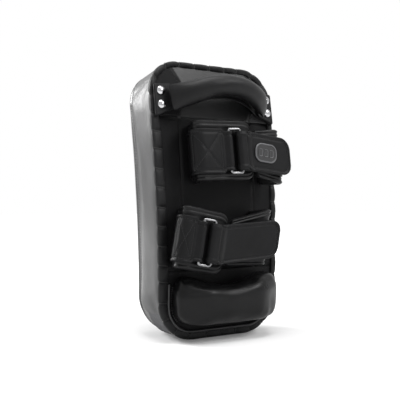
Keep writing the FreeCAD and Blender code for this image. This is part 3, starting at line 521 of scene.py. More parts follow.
def spread(tree, value, low, high, first=0.0, last=1.0):
    """Carries the range low to high over to first to last."""
    inputs = {"Value": value, "From Min": low, "From Max": high, "To Min": first, "To Max": last}
    return add(tree, "ShaderNodeMapRange", None, inputs).outputs[0]


def blended(tree, part, first, second):
    """From the first colour to the second."""
    return add(tree, "ShaderNodeMix", {"data_type": "RGBA"}, {0: part, 6: first, 7: second}).outputs[2]


def tinted(tint, factor):
    """A colour made darker or paler."""
    return tuple(min(1, c * factor) for c in tint[:3]) + (1,)


def bump(tree, height, strength, depth):
    """A normal tilted by a height."""
    inputs = {"Height": height, "Strength": strength, "Distance": depth}
    return add(tree, "ShaderNodeBump", None, inputs).outputs[0]


def new_group(name, inputs, outputs):
    tree = bpy.data.node_groups.new(name, "ShaderNodeTree")
    for label, value in inputs.items():
        tree.interface.new_socket(label, in_out="INPUT", socket_type="NodeSocketFloat").default_value = value
    for label in outputs:
        tree.interface.new_socket(label, in_out="OUTPUT", socket_type="NodeSocketFloat")
    return tree, tree.nodes.new("NodeGroupInput").outputs, tree.nodes.new("NodeGroupOutput")


def leather_grain_group():
    """Pebbled grain with fine pores and soft creases, and a slow mottling of the dye."""
    tree, given, out = new_group("Leather grain", {"Pebbles": 900.0, "Pebble height": 0.6, "Creases": 60.0,
                                                   "Crease height": 0.5}, ("Height", "Mottle"))
    where = object_spot(tree)
    warp = add(tree, "ShaderNodeTexNoise", None, {"Vector": where, "Scale": 140.0, "Detail": 2.0})
    bent = add(tree, "ShaderNodeVectorMath", {"operation": "MULTIPLY_ADD"},
               {0: warp.outputs["Color"], 1: (0.002, 0.002, 0.002), 2: where}).outputs[0]
    cells = add(tree, "ShaderNodeTexVoronoi", {"feature": "SMOOTH_F1"},
                {"Vector": bent, "Scale": given["Pebbles"], "Smoothness": 0.35}).outputs["Distance"]
    pores = speckle(tree, where, 2600.0, 1.0)
    ridge = maths(tree, "ABSOLUTE", maths(tree, "SUBTRACT", speckle(tree, bent, given["Creases"], 3.0,
                                                                   Distortion=0.6), 0.5))
    low = maths(tree, "MULTIPLY", ridge, given["Crease height"])
    high = maths(tree, "MULTIPLY", maths(tree, "SUBTRACT", 1.0, cells), given["Pebble height"])
    height = maths(tree, "ADD", maths(tree, "ADD", high, low), maths(tree, "MULTIPLY", pores, 0.12))
    feed(tree, out, {"Height": height, "Mottle": speckle(tree, where, 22.0, 5.0, Roughness=0.6)})


def wear_group():
    """Rubbed places: broad patches broken up by fine scuffs."""
    tree, given, out = new_group("Rubbed wear", {"Amount": 0.5}, ("Wear",))
    where = object_spot(tree)
    rubbed = maths(tree, "MULTIPLY", speckle(tree, where, 14.0, 4.0),
                   speckle(tree, where, 420.0, 6.0, Roughness=0.75))
    feed(tree, out, {"Wear": maths(tree, "MULTIPLY", spread(tree, rubbed, 0.22, 0.42), given["Amount"])})


def worn(tree, amount):
    """How rubbed a place is."""
    return add(tree, "ShaderNodeGroup", {"node_tree": bpy.data.node_groups["Rubbed wear"]},
               {"Amount": amount}).outputs["Wear"]


def new_material(name):
    material = bpy.data.materials.new(name)
    material.use_nodes = True
    return material.node_tree, material.node_tree.nodes["Principled BSDF"]


def leather(name, tint, rough, pebbles, pebble_height, creases, crease_height, depth, specular):
    """Dyed leather: grain in the bump, mottled dye, and rubbed places that shine differently."""
    tree, shader = new_material(name)
    grain = add(tree, "ShaderNodeGroup", {"node_tree": bpy.data.node_groups["Leather grain"]},
                {"Pebbles": pebbles, "Pebble height": pebble_height, "Creases": creases,
                 "Crease height": crease_height}).outputs
    rubbed = worn(tree, 0.4)
    dye = blended(tree, grain["Mottle"], tinted(tint, 0.72), tinted(tint, 1.5))
    dull = spread(tree, grain["Mottle"], 0.3, 0.7, rough - 0.06, rough + 0.07)
    feed(tree, shader, {"Base Color": blended(tree, rubbed, dye, tinted(tint, 2.2)),
                        "Roughness": maths(tree, "ADD", dull, maths(tree, "MULTIPLY", rubbed, 0.12)),
                        "Normal": bump(tree, grain["Height"], 0.55, depth), "Specular IOR Level": specular})


def plated_steel(name, tint, rough):
    """Plated metal, duller where it is rubbed."""
    tree, shader = new_material(name)
    rubbed = worn(tree, 0.5)
    feed(tree, shader, {"Base Color": blended(tree, rubbed, tint, tinted(tint, 0.7)), "Metallic": 1.0,
                        "Roughness": maths(tree, "ADD", maths(tree, "MULTIPLY", rubbed, 0.22), rough)})


def fibre(name, tint, scale, depth, rough):
    """Matt stuff whose surface is fibres, cells or fuzz."""
    tree, shader = new_material(name)
    where = object_spot(tree)
    cells = add(tree, "ShaderNodeTexVoronoi", None, {"Vector": where, "Scale": scale}).outputs["Distance"]
    fuzz = speckle(tree, where, scale * 0.4, 5.0)
    feed(tree, shader, {"Base Color": blended(tree, fuzz, tinted(tint, 0.6), tint),
                        "Roughness": spread(tree, fuzz, 0.0, 1.0, rough - 0.1, rough + 0.08),
                        "Normal": bump(tree, maths(tree, "ADD", cells, fuzz), 0.8, depth)})


def thread(name, tint):
    """Twisted sewing thread."""
    tree, shader = new_material(name)
    twist = add(tree, "ShaderNodeTexWave", {"bands_direction": "DIAGONAL"},
                {"Vector": object_spot(tree), "Scale": 900.0, "Distortion": 1.5}).outputs["Fac"]
    feed(tree, shader, {"Base Color": blended(tree, twist, tinted(tint, 0.5), tint),
                        "Roughness": spread(tree, twist, 0.0, 1.0, 0.5, 0.75),
                        "Normal": bump(tree, twist, 0.5, 0.0002)})


# Title, colour, roughness, scale and height of the pebbles, scale and height of the creases, depth, shine.
LEATHERS = (
    ("Smooth cover leather", "cover", 0.35, 1500.0, 0.35, 30.0, 0.8, 0.0003, 0.5),
    ("Bumper leather", "bolster", 0.31, 1400.0, 0.35, 40.0, 0.8, 0.0003, 0.16),
    ("Matt back leather", "back", 0.52, 1100.0, 0.6, 45.0, 0.8, 0.0004, 0.09),
    ("Supple back leather", "back", 0.4, 1300.0, 0.5, 30.0, 0.8, 0.0003, 0.36),
    ("Piping leather", "cover", 0.4, 1300.0, 0.5, 80.0, 0.8, 0.0003, 0.45),
    ("Coarse grained leather", "cover", 0.5, 520.0, 1.3, 60.0, 0.4, 0.0007, 0.4),
    ("Binding leather", "binding", 0.5, 1200.0, 0.5, 110.0, 1.2, 0.0005, 0.2),
    ("Strap leather", "strap", 0.42, 1000.0, 0.55, 70.0, 0.6, 0.0004, 0.11),
    ("Cuff leather", "cuff", 0.4, 1200.0, 0.45, 55.0, 0.9, 0.0004, 0.17),
    ("Grip leather", "cuff", 0.42, 1200.0, 0.4, 45.0, 1.0, 0.0004, 0.17),
)
# Title, colour, roughness.
STEELS = (
    ("Bright plated steel", (0.42, 0.42, 0.43, 1), 0.14),
    # The rings' steel is darker than the rivets' plated steel: painted shade, standing in for the dark
    # reflections that the rings show.
    ("Ring steel", (0.2, 0.2, 0.205, 1), 0.2),
    ("Zinc plated steel", (0.6, 0.61, 0.63, 1), 0.35),
)
# Title, colour, scale of the fibres, depth, roughness.
FIBRES = (
    ("Closed cell foam", (0.1, 0.1, 0.105, 1), 700.0, 0.0006, 0.9),
    ("Stiff board", (0.3, 0.28, 0.25, 1), 300.0, 0.0002, 0.75),
    ("Hook and loop", (0.014, 0.014, 0.015, 1), 1400.0, 0.0012, 0.9),
    ("Moulded rubber", (0.008, 0.008, 0.009, 1), 900.0, 0.00015, 0.5),
)


def materials():
    """Every material, made once."""
    if "Smooth cover leather" not in bpy.data.materials:
        leather_grain_group()
        wear_group()
        tints = settings().finish
        for title, tint, *grain in LEATHERS:
            leather(title, getattr(tints, tint), *grain)
        for row in STEELS:
            plated_steel(*row)
        for row in FIBRES:
            fibre(*row)
        # The badge's paler rim rubber is partly the rim's own grey and partly a painted highlight.
        fibre("Badge rim rubber", tints.rim, 900.0, 0.0001, 0.5)
        thread("Bonded thread", tints.thread)
        thread("Waxed lace", tints.lace)
    return bpy.data.materials


# ----------------------------------------------------------------------------- the padded body
def round_corners(bm, verts, radius, segments):
    """Rounds corners of a flat outline and gives the new points."""
    return bmesh.ops.bevel(bm, geom=verts, offset=radius, offset_type="OFFSET", segments=segments,
                           profile=0.5, affect="VERTICES", material=-1)["verts"]


def outline_face(bm, bottom, inset=0.0):
    """An upright face with rounded corners, seen from the back, a little rounder at the foot."""
    pad = settings().pad
    foot, head, top = pad.foot_width / 2 - inset, pad.top_width / 2 - inset, pad.height - 3 * MM - inset
    low = bottom + inset
    verts = [bm.verts.new((x, 0, z)) for x, z in ((-foot, low), (foot, low), (head, top), (-head, top))]
    bm.faces.new(verts)
    round_corners(bm, verts[:2], pad.foot_corner - inset, 12)
    round_corners(bm, verts[2:], pad.corner - inset, 12)


def outline_points(bottom, inset, step):
    """Points round the outline, in order, no further apart than about a step."""
    guide = bmesh.new()
    outline_face(guide, bottom, inset)
    loop = [corner.vert.co.copy() for corner in guide.faces[:][0].loops]
    guide.free()
    points = []
    for start, end in zip(loop, loop[1:] + loop[:1]):
        count = max(1, round((end - start).length / step))
        points += [start.lerp(end, i / count) for i in range(count)]
    return points


def make_cover():
    """The gusset and the strike face, stuffed tight, with the seam between them drawn in."""
    pad = settings().pad
    grid, glued, fold_size, fold_rise = 7 * MM, 4 * MM, 55 * MM, 0.9 * MM
    seam_width, seam_draw, corner_draw = 2.2 * MM, 1.3 * MM, 5 * MM
    bm = bmesh.new()
    outline_face(bm, 0)
    rim = bm.edges[:]
    seam = pad.depth - pad.edge_round - 3 * MM
    steps = [3, 9, 18, 28, 38, 48, 56, 62, 65.5, seam / MM, 70.5, 73]
    rims = [(depth * MM, 0.0) for depth in steps]
    rims += [(pad.depth - pad.edge_round * (1 - math.sin(turn)), pad.edge_round * (1 - math.cos(turn)))
             for turn in (math.radians(12 * k) for k in range(1, 8))]

    def outline_at(depth, inset):
        """The outline's place and scale at a depth under the back face."""
        wide = 1 - (2 * pad.side_slope * depth + 2 * inset) / pad.foot_width
        fall = pad.top_slope * depth + 2 * inset
        tall = 1 - fall / pad.height
        rise = inset + 0.05 * depth * min(1.0, depth / (60 * MM))
        return Matrix.Translation((0, depth, rise)) @ Matrix.Diagonal((wide, 1, tall - rise / pad.height, 1))

    last = Matrix.Identity(4)
    for depth, inset in rims:
        here = outline_at(depth, inset)
        rim = extrude_rim(bm, rim, here @ last.inverted())
        last = here
    bmesh.ops.contextual_create(bm, geom=rim)
    half = pad.top_width / 2
    slice_up(bm, "z", 0, pad.height, grid)
    slice_up(bm, "x", -half, half, grid)
    for vert in bm.verts:
        vert.co.y += back_y(vert.co.z)
    piece = finish_mesh(bm, "pad_cover", "Smooth cover leather")

    def under(co):
        return co.y - back_y(co.z)

    held = [vert.index for vert in piece.data.vertices if under(vert.co) < glued]
    inflate(piece, settings().finish.pressure * 0.8, 2 * MM, held)

    def settle(bm):
        """Opens the back, folds the leather a little, and draws in the seam and the strike side's corners."""
        hidden = [face for face in bm.faces if all(under(vert.co) < 1 * MM for vert in face.verts)]
        bmesh.ops.delete(bm, geom=hidden, context="FACES")
        bm.normal_update()
        for vert in bm.verts:
            depth = under(vert.co)
            drawn = math.exp(-((depth - seam) / seam_width) ** 2)
            if depth > glued:
                spot = vert.co / fold_size
                fold = noise.noise(Vector((spot.x * 1.6, spot.y * 2.2, spot.z * 0.8)))
                vert.co += vert.normal * (fold * fold_rise - drawn * seam_draw)
                corner = ramp(abs(vert.co.x), 45 * MM, 100 * MM) * ramp(depth, 8 * MM, 85 * MM) * corner_draw
                vert.co.z += corner * (ramp(-vert.co.z, -80 * MM, 0) - ramp(vert.co.z, 310 * MM, 385 * MM))
            vert.co.z = max(vert.co.z, 0.2 * MM)

    edit(piece, settle)
    subdivide(thicken(piece, COVER_LEATHER))
    ride(piece, "pad", "cover_leather", "side_gusset", "strike_face", "impact_foam", fill=1.0)
    # two rows of stitches follow the seam
    tree = BVHTree.FromObject(piece, bpy.context.evaluated_depsgraph_get())
    rows = bmesh.new()
    path = outline_points(0, 0.0, 6 * MM)
    for shift in (-3.2, 3.4):
        line = []
        for spot in path + path[:1]:
            guess = outline_at(seam + shift * MM, 0.0) @ spot
            guess.y += back_y(guess.z)
            line.append(tree.find_nearest(guess)[:2])
        stitch_row(rows, line, settings().layers.stitch_pitch * 1.2)
    sew(rows, "cover_stitches", "cover_leather")


# For the left and right corner: heights, and how far the seam has left the side seam's line there, in mm.
CORNER_SEAMS = {-1: ((309, 0), (345, -9), (358, -8.5), (380, 7.6), (391, 15)),
                1: ((309, 0), (350, 24), (364, 29), (387, -7), (391, -12))}


def slant_corner_seams(bm):
    """Leans the seams between the crown and its corner patches, and what is sewn along them."""
    seam = settings().pad.panel_seam
    for vert in bm.verts:
        side = math.copysign(1, vert.co.x)
        line = CORNER_SEAMS[int(side)]
        z, aside = vert.co.z / MM, 0.0
        for (low, start), (high, end) in zip(line, line[1:]):
            if low <= z <= high:
                aside = start + (end - start) * (z - low) / (high - low)
        vert.co.x += side * aside * MM * max(0.0, 1 - abs(abs(vert.co.x) - seam) / (40 * MM))


def make_back_panels():
    """Leather panels that meet in stitched seams, puffed by the padding under them."""
    pad = settings().pad
    seam, top, foot, wide = pad.panel_seam, pad.panel_top, pad.panel_foot, pad.top_width
    grid, swell_size, swell_rise, edge_depth = 8 * MM, 30 * MM, 0.35 * MM, 1.75 * MM
    cuts = {
        "left_side_panel": ((-wide, -seam), (foot, top)), "forearm_panel": ((-seam, seam), (foot, top)),
        "right_side_panel": ((seam, wide), (foot, top)), "left_corner_patch": ((-wide, -seam), (top, 1)),
        "crown_panel": ((-seam, seam), (top, 1)), "right_corner_patch": ((seam, wide), (top, 1)),
        "base_panel": ((-wide, wide), (-1, foot))}
    finish = {"right_corner_patch": ("Coarse grained leather", "grained_leather"),
              "crown_panel": ("Supple back leather", "back_leather")}
    for node, ((left, right), (low, high)) in cuts.items():
        bm = bmesh.new()
        outline_face(bm, 0.5 * MM, 2.4 * MM)
        for spot, away in (((left, 0, 0), (-1, 0, 0)), ((right, 0, 0), (1, 0, 0)), ((0, 0, low), (0, 0, -1)),
                           ((0, 0, high), (0, 0, 1))):
            cut(bm, spot, away, True)
        # the turned-in edge rises in three steps to the panel's face
        for width, rise in ((0.9, 0.0), (1.0, 0.95), (2.2, 0.45), (3.5, 0.2)):
            inside = max(bm.faces, key=lambda face: face.calc_area())
            bmesh.ops.inset_region(bm, faces=[inside], thickness=width * MM, use_even_offset=True)
            for vert in inside.verts:
                vert.co.y -= rise * MM
        slice_up(bm, "z", 0, pad.height, grid)
        slice_up(bm, "x", -wide / 2, wide / 2, grid)
        for vert in bm.verts:
            swell = noise.noise(Vector((vert.co.x * 1.8, 3.1, vert.co.z)) / swell_size) * swell_rise
            vert.co.y += back_y(vert.co.z) + edge_depth + (swell if vert.co.y < -0.6 * MM else 0)
        slant_corner_seams(bm)
        title, slot = finish.get(node, ("Matt back leather", "back_leather"))
        piece = finish_mesh(bm, node + "_skin", title)
        if sum(face.normal.y * face.area for face in piece.data.polygons) > 0:
            piece.data.flip_normals()
        ride(thicken(piece, PANEL_LEATHER), "pad", slot, node)
    rows = bmesh.new()
    asides, sunk, half = (-2.6 * MM, 2.6 * MM), 0.45 * MM, 85 * MM
    heights = [foot + 3 * MM + (pad.height - 8 * MM - foot) * k / 60 for k in range(61)]
    for x in (-seam, seam):
        for aside in asides:
            stitch_row(rows, [(Vector((x + aside, back_y(z) + sunk, z)), OUTWARD) for z in heights])
    for z in (foot, top):
        for aside in asides:
            stitch_row(rows, [(Vector((x, back_y(z) + sunk, z + aside)), OUTWARD) for x in (-half, half)])
    slant_corner_seams(rows)
    sew(rows, "back_panel_stitches", "back_leather")


def rim_path():
    """Points along the rim of the back face, in order, with their heading and the direction inwards."""
    points = outline_points(3.4 * MM, 0.0, 1.6 * MM)
    middle = Vector((0, 0, settings().pad.height / 2))
    path = []
    for i, here in enumerate(points):
        along = (points[(i + 1) % len(points)] - points[i - 1]).normalized()
        inward = Vector((-along.z, 0, along.x))
        if inward.dot(middle - here) < 0:
            inward.negate()
        path.append((here, along, inward))
    return path


def binding_width(spot):
    """The rolled edge is broad down the left side, less so round the foot, and narrow over the top."""
    pad = settings().pad
    below_top = (pad.height - 60 * MM - spot.z) / (40 * MM)
    left = min(1.0, max(0.0, -spot.x / (60 * MM))) * min(1.0, max(0.0, below_top))
    foot = min(1.0, max(0.0, (60 * MM - spot.z) / (40 * MM)))
    return pad.binding * (0.56 + 0.44 * max(left, 0.5 * foot))


def make_binding():
    """The rolled edge, gathered by its lacing, and the lacing itself."""
    path = rim_path()
    section = [(-3.0, -3.6), (-3.3, -1.4), (-3.2, 0.8), (-2.4, 2.4), (-0.6, 3.2), (2.0, 3.5), (5.0, 3.3),
               (8.0, 2.9), (10.6, 2.2), (12.0, 1.2), (12.5, 0.4), (11, 0.3), (6, 0.3), (0.4, 0.3),
               (-0.4, -0.2), (-0.4, -3.6)]
    total = sum((path[i][0] - path[i - 1][0]).length for i in range(len(path)))
    pucker = total / round(total / settings().pad.pucker)
    places, gathers, run = [], [], 0.0
    pinch_width, bulge_width = 2.2 * MM, 7 * MM
    for i, (here, along, inward) in enumerate(path):
        spot = Vector((here.x, back_y(here.z), here.z))
        phase = (run / pucker + 0.18 * noise.noise(here / (30 * MM))) % 1.0
        off = min(phase, 1 - phase) * pucker
        pinch = math.exp(-(off / pinch_width) ** 2)
        swell = 0.92 + 0.30 * (1 - math.exp(-(off / bulge_width) ** 2)) - 0.45 * pinch
        swell += 0.07 * noise.noise(here / (7 * MM))
        wide = binding_width(here) / (12.5 * MM) * (1 - 0.16 * pinch)
        puff = 0.8 * MM * (swell - 1)
        turn = oriented(inward, OUTWARD * swell, along)
        places.append((Matrix.Translation(spot - inward * puff) @ turn, wide))
        if off < 0.85 * MM and (not gathers or i - gathers[-1] > 4):
            gathers.append(i)
        run += (path[(i + 1) % len(path)][0] - here).length
    bm = bmesh.new()
    sweep(bm, [(across * MM, rise * MM) for across, rise in section],
          [place @ Matrix.Diagonal((wide, 1, 1, 1)) for place, wide in places], closed=True)
    for vert in bm.verts:
        vert.co.z = max(vert.co.z, 0.1 * MM)
    piece = subdivide(finish_mesh(bm, "rolled_edge", "Binding leather"))
    ride(piece, "pad", "binding_leather", "edge_binding")
    lace = bmesh.new()
    cord, steepness = round_section(0.85 * MM, 6), 0.35 * MM
    over = [(-3.0, -3.2), (-3.5, -1.5), (-3.4, 0.6), (-2.6, 2.4), (-0.8, 3.4), (2.0, 3.8), (5.0, 3.6),
            (8.0, 3.2), (11.0, 2.4), (12.6, 1.2), (12.9, 0.2)]
    for i in gathers:
        place, wide = places[i]
        spots = []
        for k, (across, rise) in enumerate(over):
            slant = path[i][1] * ((k - 5) * steepness)
            spot = place @ Vector((across * MM * wide, rise * MM, 0)) + slant
            spots.append(Vector((spot.x, spot.y, max(spot.z, 1.1 * MM))))
        steps = []
        for k, spot in enumerate(spots):
            heading = (spots[min(k + 1, len(spots) - 1)] - spots[max(k - 1, 0)]).normalized()
            aside = heading.cross(path[i][1]).normalized()
            steps.append(Matrix.Translation(spot) @ oriented(aside, heading.cross(aside), heading))
        sweep(lace, cord, steps)
    sew(lace, "rolled_edge_lacing", "binding_leather", "Waxed lace")


# ---------------------------------------------------------------------------------- the handle
def band_section(width, thick):
    """A leather band seen end on: across from -0.5 to 0.5, and up from its inner face."""
    half = width / MM / 2
    spots = [(0, 0.0), (0.3, 0.75), (0.9, 1.0)]
    spots += [(0.9 + (half - 0.9) * k / 18, 1.0) for k in range(1, 19)]
    top = [(edge, thick * (0.5 + 0.5 * rounding)) for edge, rounding in spots]
    foot = [(edge, thick * (0.5 - 0.5 * rounding)) for edge, rounding in spots]
    left = [(-0.5 + edge * MM / width, high) for edge, high in top]
    right = [(0.5 - edge * MM / width, high) for edge, high in reversed(top[:-1])]
    under = [(0.5 - edge * MM / width, low) for edge, low in foot[1:]]
    back = [(-0.5 + edge * MM / width, low) for edge, low in reversed(foot[1:-1])]
    return left + right + under + back


# Where the rows of stitches run, from the edge of a strap.
SEAM_INSET = 4.6 * MM


def rim_and_groove(near, raised):
    """How far a sewn edge stands out: a raised rim, with a groove for the stitches inside it."""
    near = near / MM
    groove = -1.2 * math.exp(-((near - 4.7) / 1.3) ** 2)
    return MM * (groove + (0.9 / (1 + math.exp((near - 3.2) / 0.4)) * min(1.0, near / 1.2) if raised else 0))


def emboss(bm, places, thick, carve):
    """Moves every point along its normal by what carve says of its station and its distance from an edge."""
    inverse = [place.inverted_safe() for place in places]
    bm.normal_update()
    moves = []
    for vert in bm.verts:
        found, least = None, 1.0
        for i, back in enumerate(inverse):
            spot = back @ vert.co
            miss = abs(spot.z) + max(0.0, -spot.y, spot.y - thick)
            if miss < least:
                found, least = (i, spot.x), miss
        i, across = found
        near = max(0.0, 0.5 - abs(across)) * strap_width_at(places[i])
        moves.append((vert, vert.normal * carve(i, vert, near)))
    for vert, move in moves:
        vert.co += move


def strap_place_at(station, low, high, outer=1):
    """The affine place of a band's section at a station of its run, between two edges across."""
    point, heading = station
    along = Vector((heading.x, -heading.y, 0))
    out = Vector((-heading.y, -heading.x, 0)) * outer
    turn = oriented(Vector((0, 0, high - low)), out, along)
    return Matrix.Translation((point.x, -point.y, (low + high) / 2)) @ turn


def places_along(stations, edges, outer=1, sunk=0.0):
    """The places of a band's section at every station, sunk by a depth under the run."""
    sink = Matrix.Translation((0, -sunk, 0))
    return [strap_place_at(station, *edges(station[0].x), outer) @ sink for station in stations]


def strap_width_at(place):
    """How wide a band is at one of its places."""
    return (place.to_3x3() @ Vector((1, 0, 0))).length


def rounded_end(u, end, bend):
    """How far each edge of a band draws in where its end is rounded."""
    tip = max(0.0, min(1.0, (u - (end - bend)) / bend))
    return bend * (1 - math.sqrt(max(0.0, 1 - tip * tip)))


def edge_stitches(places, aside):
    """A row of stitches along each edge of a band; aside gives their share across from its width."""
    rows, high = bmesh.new(), settings().layers.leather - 0.5 * MM
    for side in (-1, 1):
        line = []
        for place in places:
            out = (place.to_3x3() @ Vector((0, 1, 0))).normalized()
            line.append((place @ Vector((side * aside(strap_width_at(place)), high, 0)), out))
        stitch_row(rows, line)
    return rows


def leather_strap(name, side, width, places, carve, folds):
    """One leather strap: swept along its places, embossed along its edges and a little creased."""
    leather = settings().layers.leather
    bm = sweep(bmesh.new(), band_section(width, leather), places)
    emboss(bm, places, leather, carve)
    bm.transform(strap_place(side))
    crumple(bm, *folds)
    return finish_mesh(bm, f"{side}_{name}_leather", "Strap leather")


def handle_edges(x):
    """Lower and upper edge of the handle strap, which is broadest in the middle."""
    span = settings().grip.span
    low = -27 * MM + rounded_peak(x, span, 42 * MM, 200 * MM)
    high = 19 * MM + rounded_peak(x, span, 8 * MM, 250 * MM)
    return low, high


def make_handle():
    """The riveted handle strap, its end tabs and the padded grip."""
    grip, sizes = settings().grip, settings().layers
    place = on_back(0, grip.height)
    start = grip.tab_inner - sizes.leather
    peak = grip.seat + start * math.tan(grip.slope)
    run = bent_line([(-grip.span, grip.seat), (-start, grip.seat, 7.8 * MM), (0, peak, grip.arch),
                     (start, grip.seat, 7.8 * MM), (grip.span, grip.seat)], 5 * MM, 14)
    places = [place @ strap_place_at(station, *handle_edges(station[0].x)) for station in run]
    bm = sweep(bmesh.new(), band_section(46 * MM, sizes.leather), places)
    emboss(bm, places, sizes.leather, lambda i, vert, near: 0.6 * rim_and_groove(near, False))
    piece = finish_mesh(bm, "handle_band", "Strap leather")
    ride(piece, "pad", "strap_leather", "handle_strap")
    sew(edge_stitches(places, lambda wide: 0.41), "handle_band_stitches", "strap_leather")
    make_tabs(place)
    make_rivets(place)
    make_grip(place)


def make_tabs(place):
    """Stitched leather tabs over the ends of the handle strap."""
    grip, sizes = settings().grip, settings().layers
    base, thick = grip.seat + sizes.leather + sizes.gap, sizes.leather
    corner, inset = 3 * MM, 3.4 * MM
    long = grip.span - grip.tab_inner
    spots = [0, 0.3, 0.9, 1.6, 2.2, 2.8, 3.4, 4.0, 5.2, 9]
    spots = [spot * MM for spot in spots] + [long - spot * MM for spot in reversed(spots)]
    bm, rows = bmesh.new(), bmesh.new()

    def reach(u, inset=0.0):
        """Lower and upper edge of a tab, which follow the handle strap's."""
        low, high = handle_edges(u)
        edge = min(u - grip.tab_inner, grip.span - u)
        drawn = corner - math.sqrt(max(0.0, corner ** 2 - max(0.0, corner - edge) ** 2))
        return low + drawn + inset, high - drawn - inset
    for side in (-1, 1):
        places = []
        for spot in spots:
            u = grip.tab_inner + spot
            edge = min(spot, long - spot) / MM
            body = 0.5 + 0.5 * math.sqrt(1 - max(0.0, 1 - edge / 0.9) ** 2)
            turn = strap_place_at((Vector((side * u, base)), Vector((side, 0))), *reach(u), side)
            places.append(turn @ Matrix.Diagonal((1, body, 1, 1)))
        sweep(bm, band_section(44 * MM, thick), places)
        inner, outer = grip.tab_inner + inset, grip.span - inset
        (low, high), (far_low, far_high) = reach(inner, inset), reach(outer, inset)
        loop = [(inner, low), (outer, far_low), (outer, far_high), (inner, high), (inner, low)]
        stitch_row(rows, [(Vector((side * u, -base - thick + 0.2 * MM, v)), OUTWARD) for u, v in loop])
    bm.transform(place)
    rows.transform(place)
    ride(finish_mesh(bm, "end_tabs", "Strap leather"), "pad", "strap_leather", "handle_end_tabs")
    sew(rows, "end_tab_stitches", "strap_leather")


def make_rivets(place):
    """Domed rivets with their shanks, turned round the axes of the packed ones."""
    back, groups = place.inverted(), {}
    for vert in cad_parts["handle_rivets"].data.vertices:
        spot = back @ vert.co
        groups.setdefault((spot.x > 0, spot.z > 0), []).append(spot)
    bm = bmesh.new()
    for spots in groups.values():
        middle = [(min(s[i] for s in spots) + max(s[i] for s in spots)) / 2 for i in (0, 2)]
        radius = (max(s.x for s in spots) - min(s.x for s in spots)) / 2
        top, foot = min(s.y for s in spots), max(s.y for s in spots)
        dome, shank, sweep_angle = 3.4 * MM, 2.0 * MM, 1.25
        rise = dome * 0.9 / (1 - math.cos(sweep_angle))
        line = [(radius * math.sin(turn), top + rise * (1 - math.cos(turn)))
                for turn in (sweep_angle * k / 8 for k in range(1, 9))]
        widest = line[-1][0]
        line = [(r * radius / widest, y) for r, y in line]
        line += [(radius * 0.98, top + dome - 0.1 * MM), (radius * 0.9, top + dome), (shank, top + dome),
                 (shank, foot)]
        verts = [bm.verts.new((r, y, 0)) for r, y in [(0, top), *line, (0, foot)]]
        edges = [bm.edges.new(pair) for pair in zip(verts, verts[1:])]
        bmesh.ops.spin(bm, geom=verts + edges, cent=(0, 0, 0), axis=(0, 1, 0), angle=2 * math.pi, steps=32,
                       use_merge=True)
        # a tagged point belongs to a rivet that is already in its place
        fresh = [vert for vert in bm.verts if not vert.tag]
        bmesh.ops.translate(bm, vec=(middle[0], 0, middle[1]), verts=fresh)
        for vert in fresh:
            vert.tag = True
    bm.transform(place)
    ride(finish_mesh(bm, "domed_rivets", "Bright plated steel"), "pad", "chrome_steel", "handle_rivets")


# Half length, out from the back, up, half height and half depth of the grip roll, in mm.
GRIP_ROLL = ((0, 46.4, 13.4, 14.8, 14.6), (15, 45.6, 12.6, 14.8, 14.6), (30, 42.9, 10.2, 15.1, 14.4),
             (45, 38.0, 6.2, 15.8, 13.6), (58, 31.2, 2.4, 16.8, 12.2), (68, 24.6, 0.2, 17.8, 9.8),
             (75, 18.4, -1.2, 18.3, 6.4), (79, 14.6, -1.8, 17.6, 3.8))


def make_grip(place):
    """The padded roll: round in the middle, flattened where it runs in under the tabs."""
    rows = [(-u, *rest) for u, *rest in reversed(GRIP_ROLL[1:])] + list(GRIP_ROLL)
    centres, sizes = [Vector(row[:3]) * MM for row in rows], [row[3:] for row in rows]
    fine = []
    for i in range(len(centres) - 1):
        before, after = centres[max(0, i - 1)], centres[min(len(centres) - 1, i + 2)]
        a, b = centres[i], centres[i + 1]
        pull_a = (b - before) / 2 if i else b - a
        pull_b = (after - a) / 2 if i + 2 < len(centres) else b - a
        for part in (0, 0.25, 0.5, 0.75):
            square, cube = part ** 2, part ** 3
            spot = a * (2 * cube - 3 * square + 1) + pull_a * (cube - 2 * square + part)
            spot = spot + b * (3 * square - 2 * cube) + pull_b * (cube - square)
            fine.append((spot, [m * (1 - part) + n * part for m, n in zip(sizes[i], sizes[i + 1])]))
    fine.append((centres[-1], sizes[-1]))
    places = []
    for i, (spot, (tall, deep)) in enumerate(fine):
        ahead, behind = fine[min(i + 1, len(fine) - 1)][0], fine[max(i - 1, 0)][0]
        along = (ahead - behind).normalized()
        along = Vector((along.x, -along.y, along.z))
        up = (Vector((0, 0, 1)) - along * along.z).normalized()
        turn = oriented(up * tall * MM, up.cross(along) * deep * MM, along)
        places.append(place @ Matrix.Translation((spot.x, -spot.y, spot.z)) @ turn)
    piece = finish_mesh(sweep(bmesh.new(), round_section(1, 28), places), "grip_padding", "Grip leather")
    inflate(piece, settings().finish.pressure, 1.6 * MM)
    edit(piece, lambda bm: crumple(bm, 0.7 * MM, 14 * MM, (0.5, 1, 1)))
    ride(subdivide(piece), "pad", "cuff_leather", "grip_cover", "grip_core", fill=0.9)


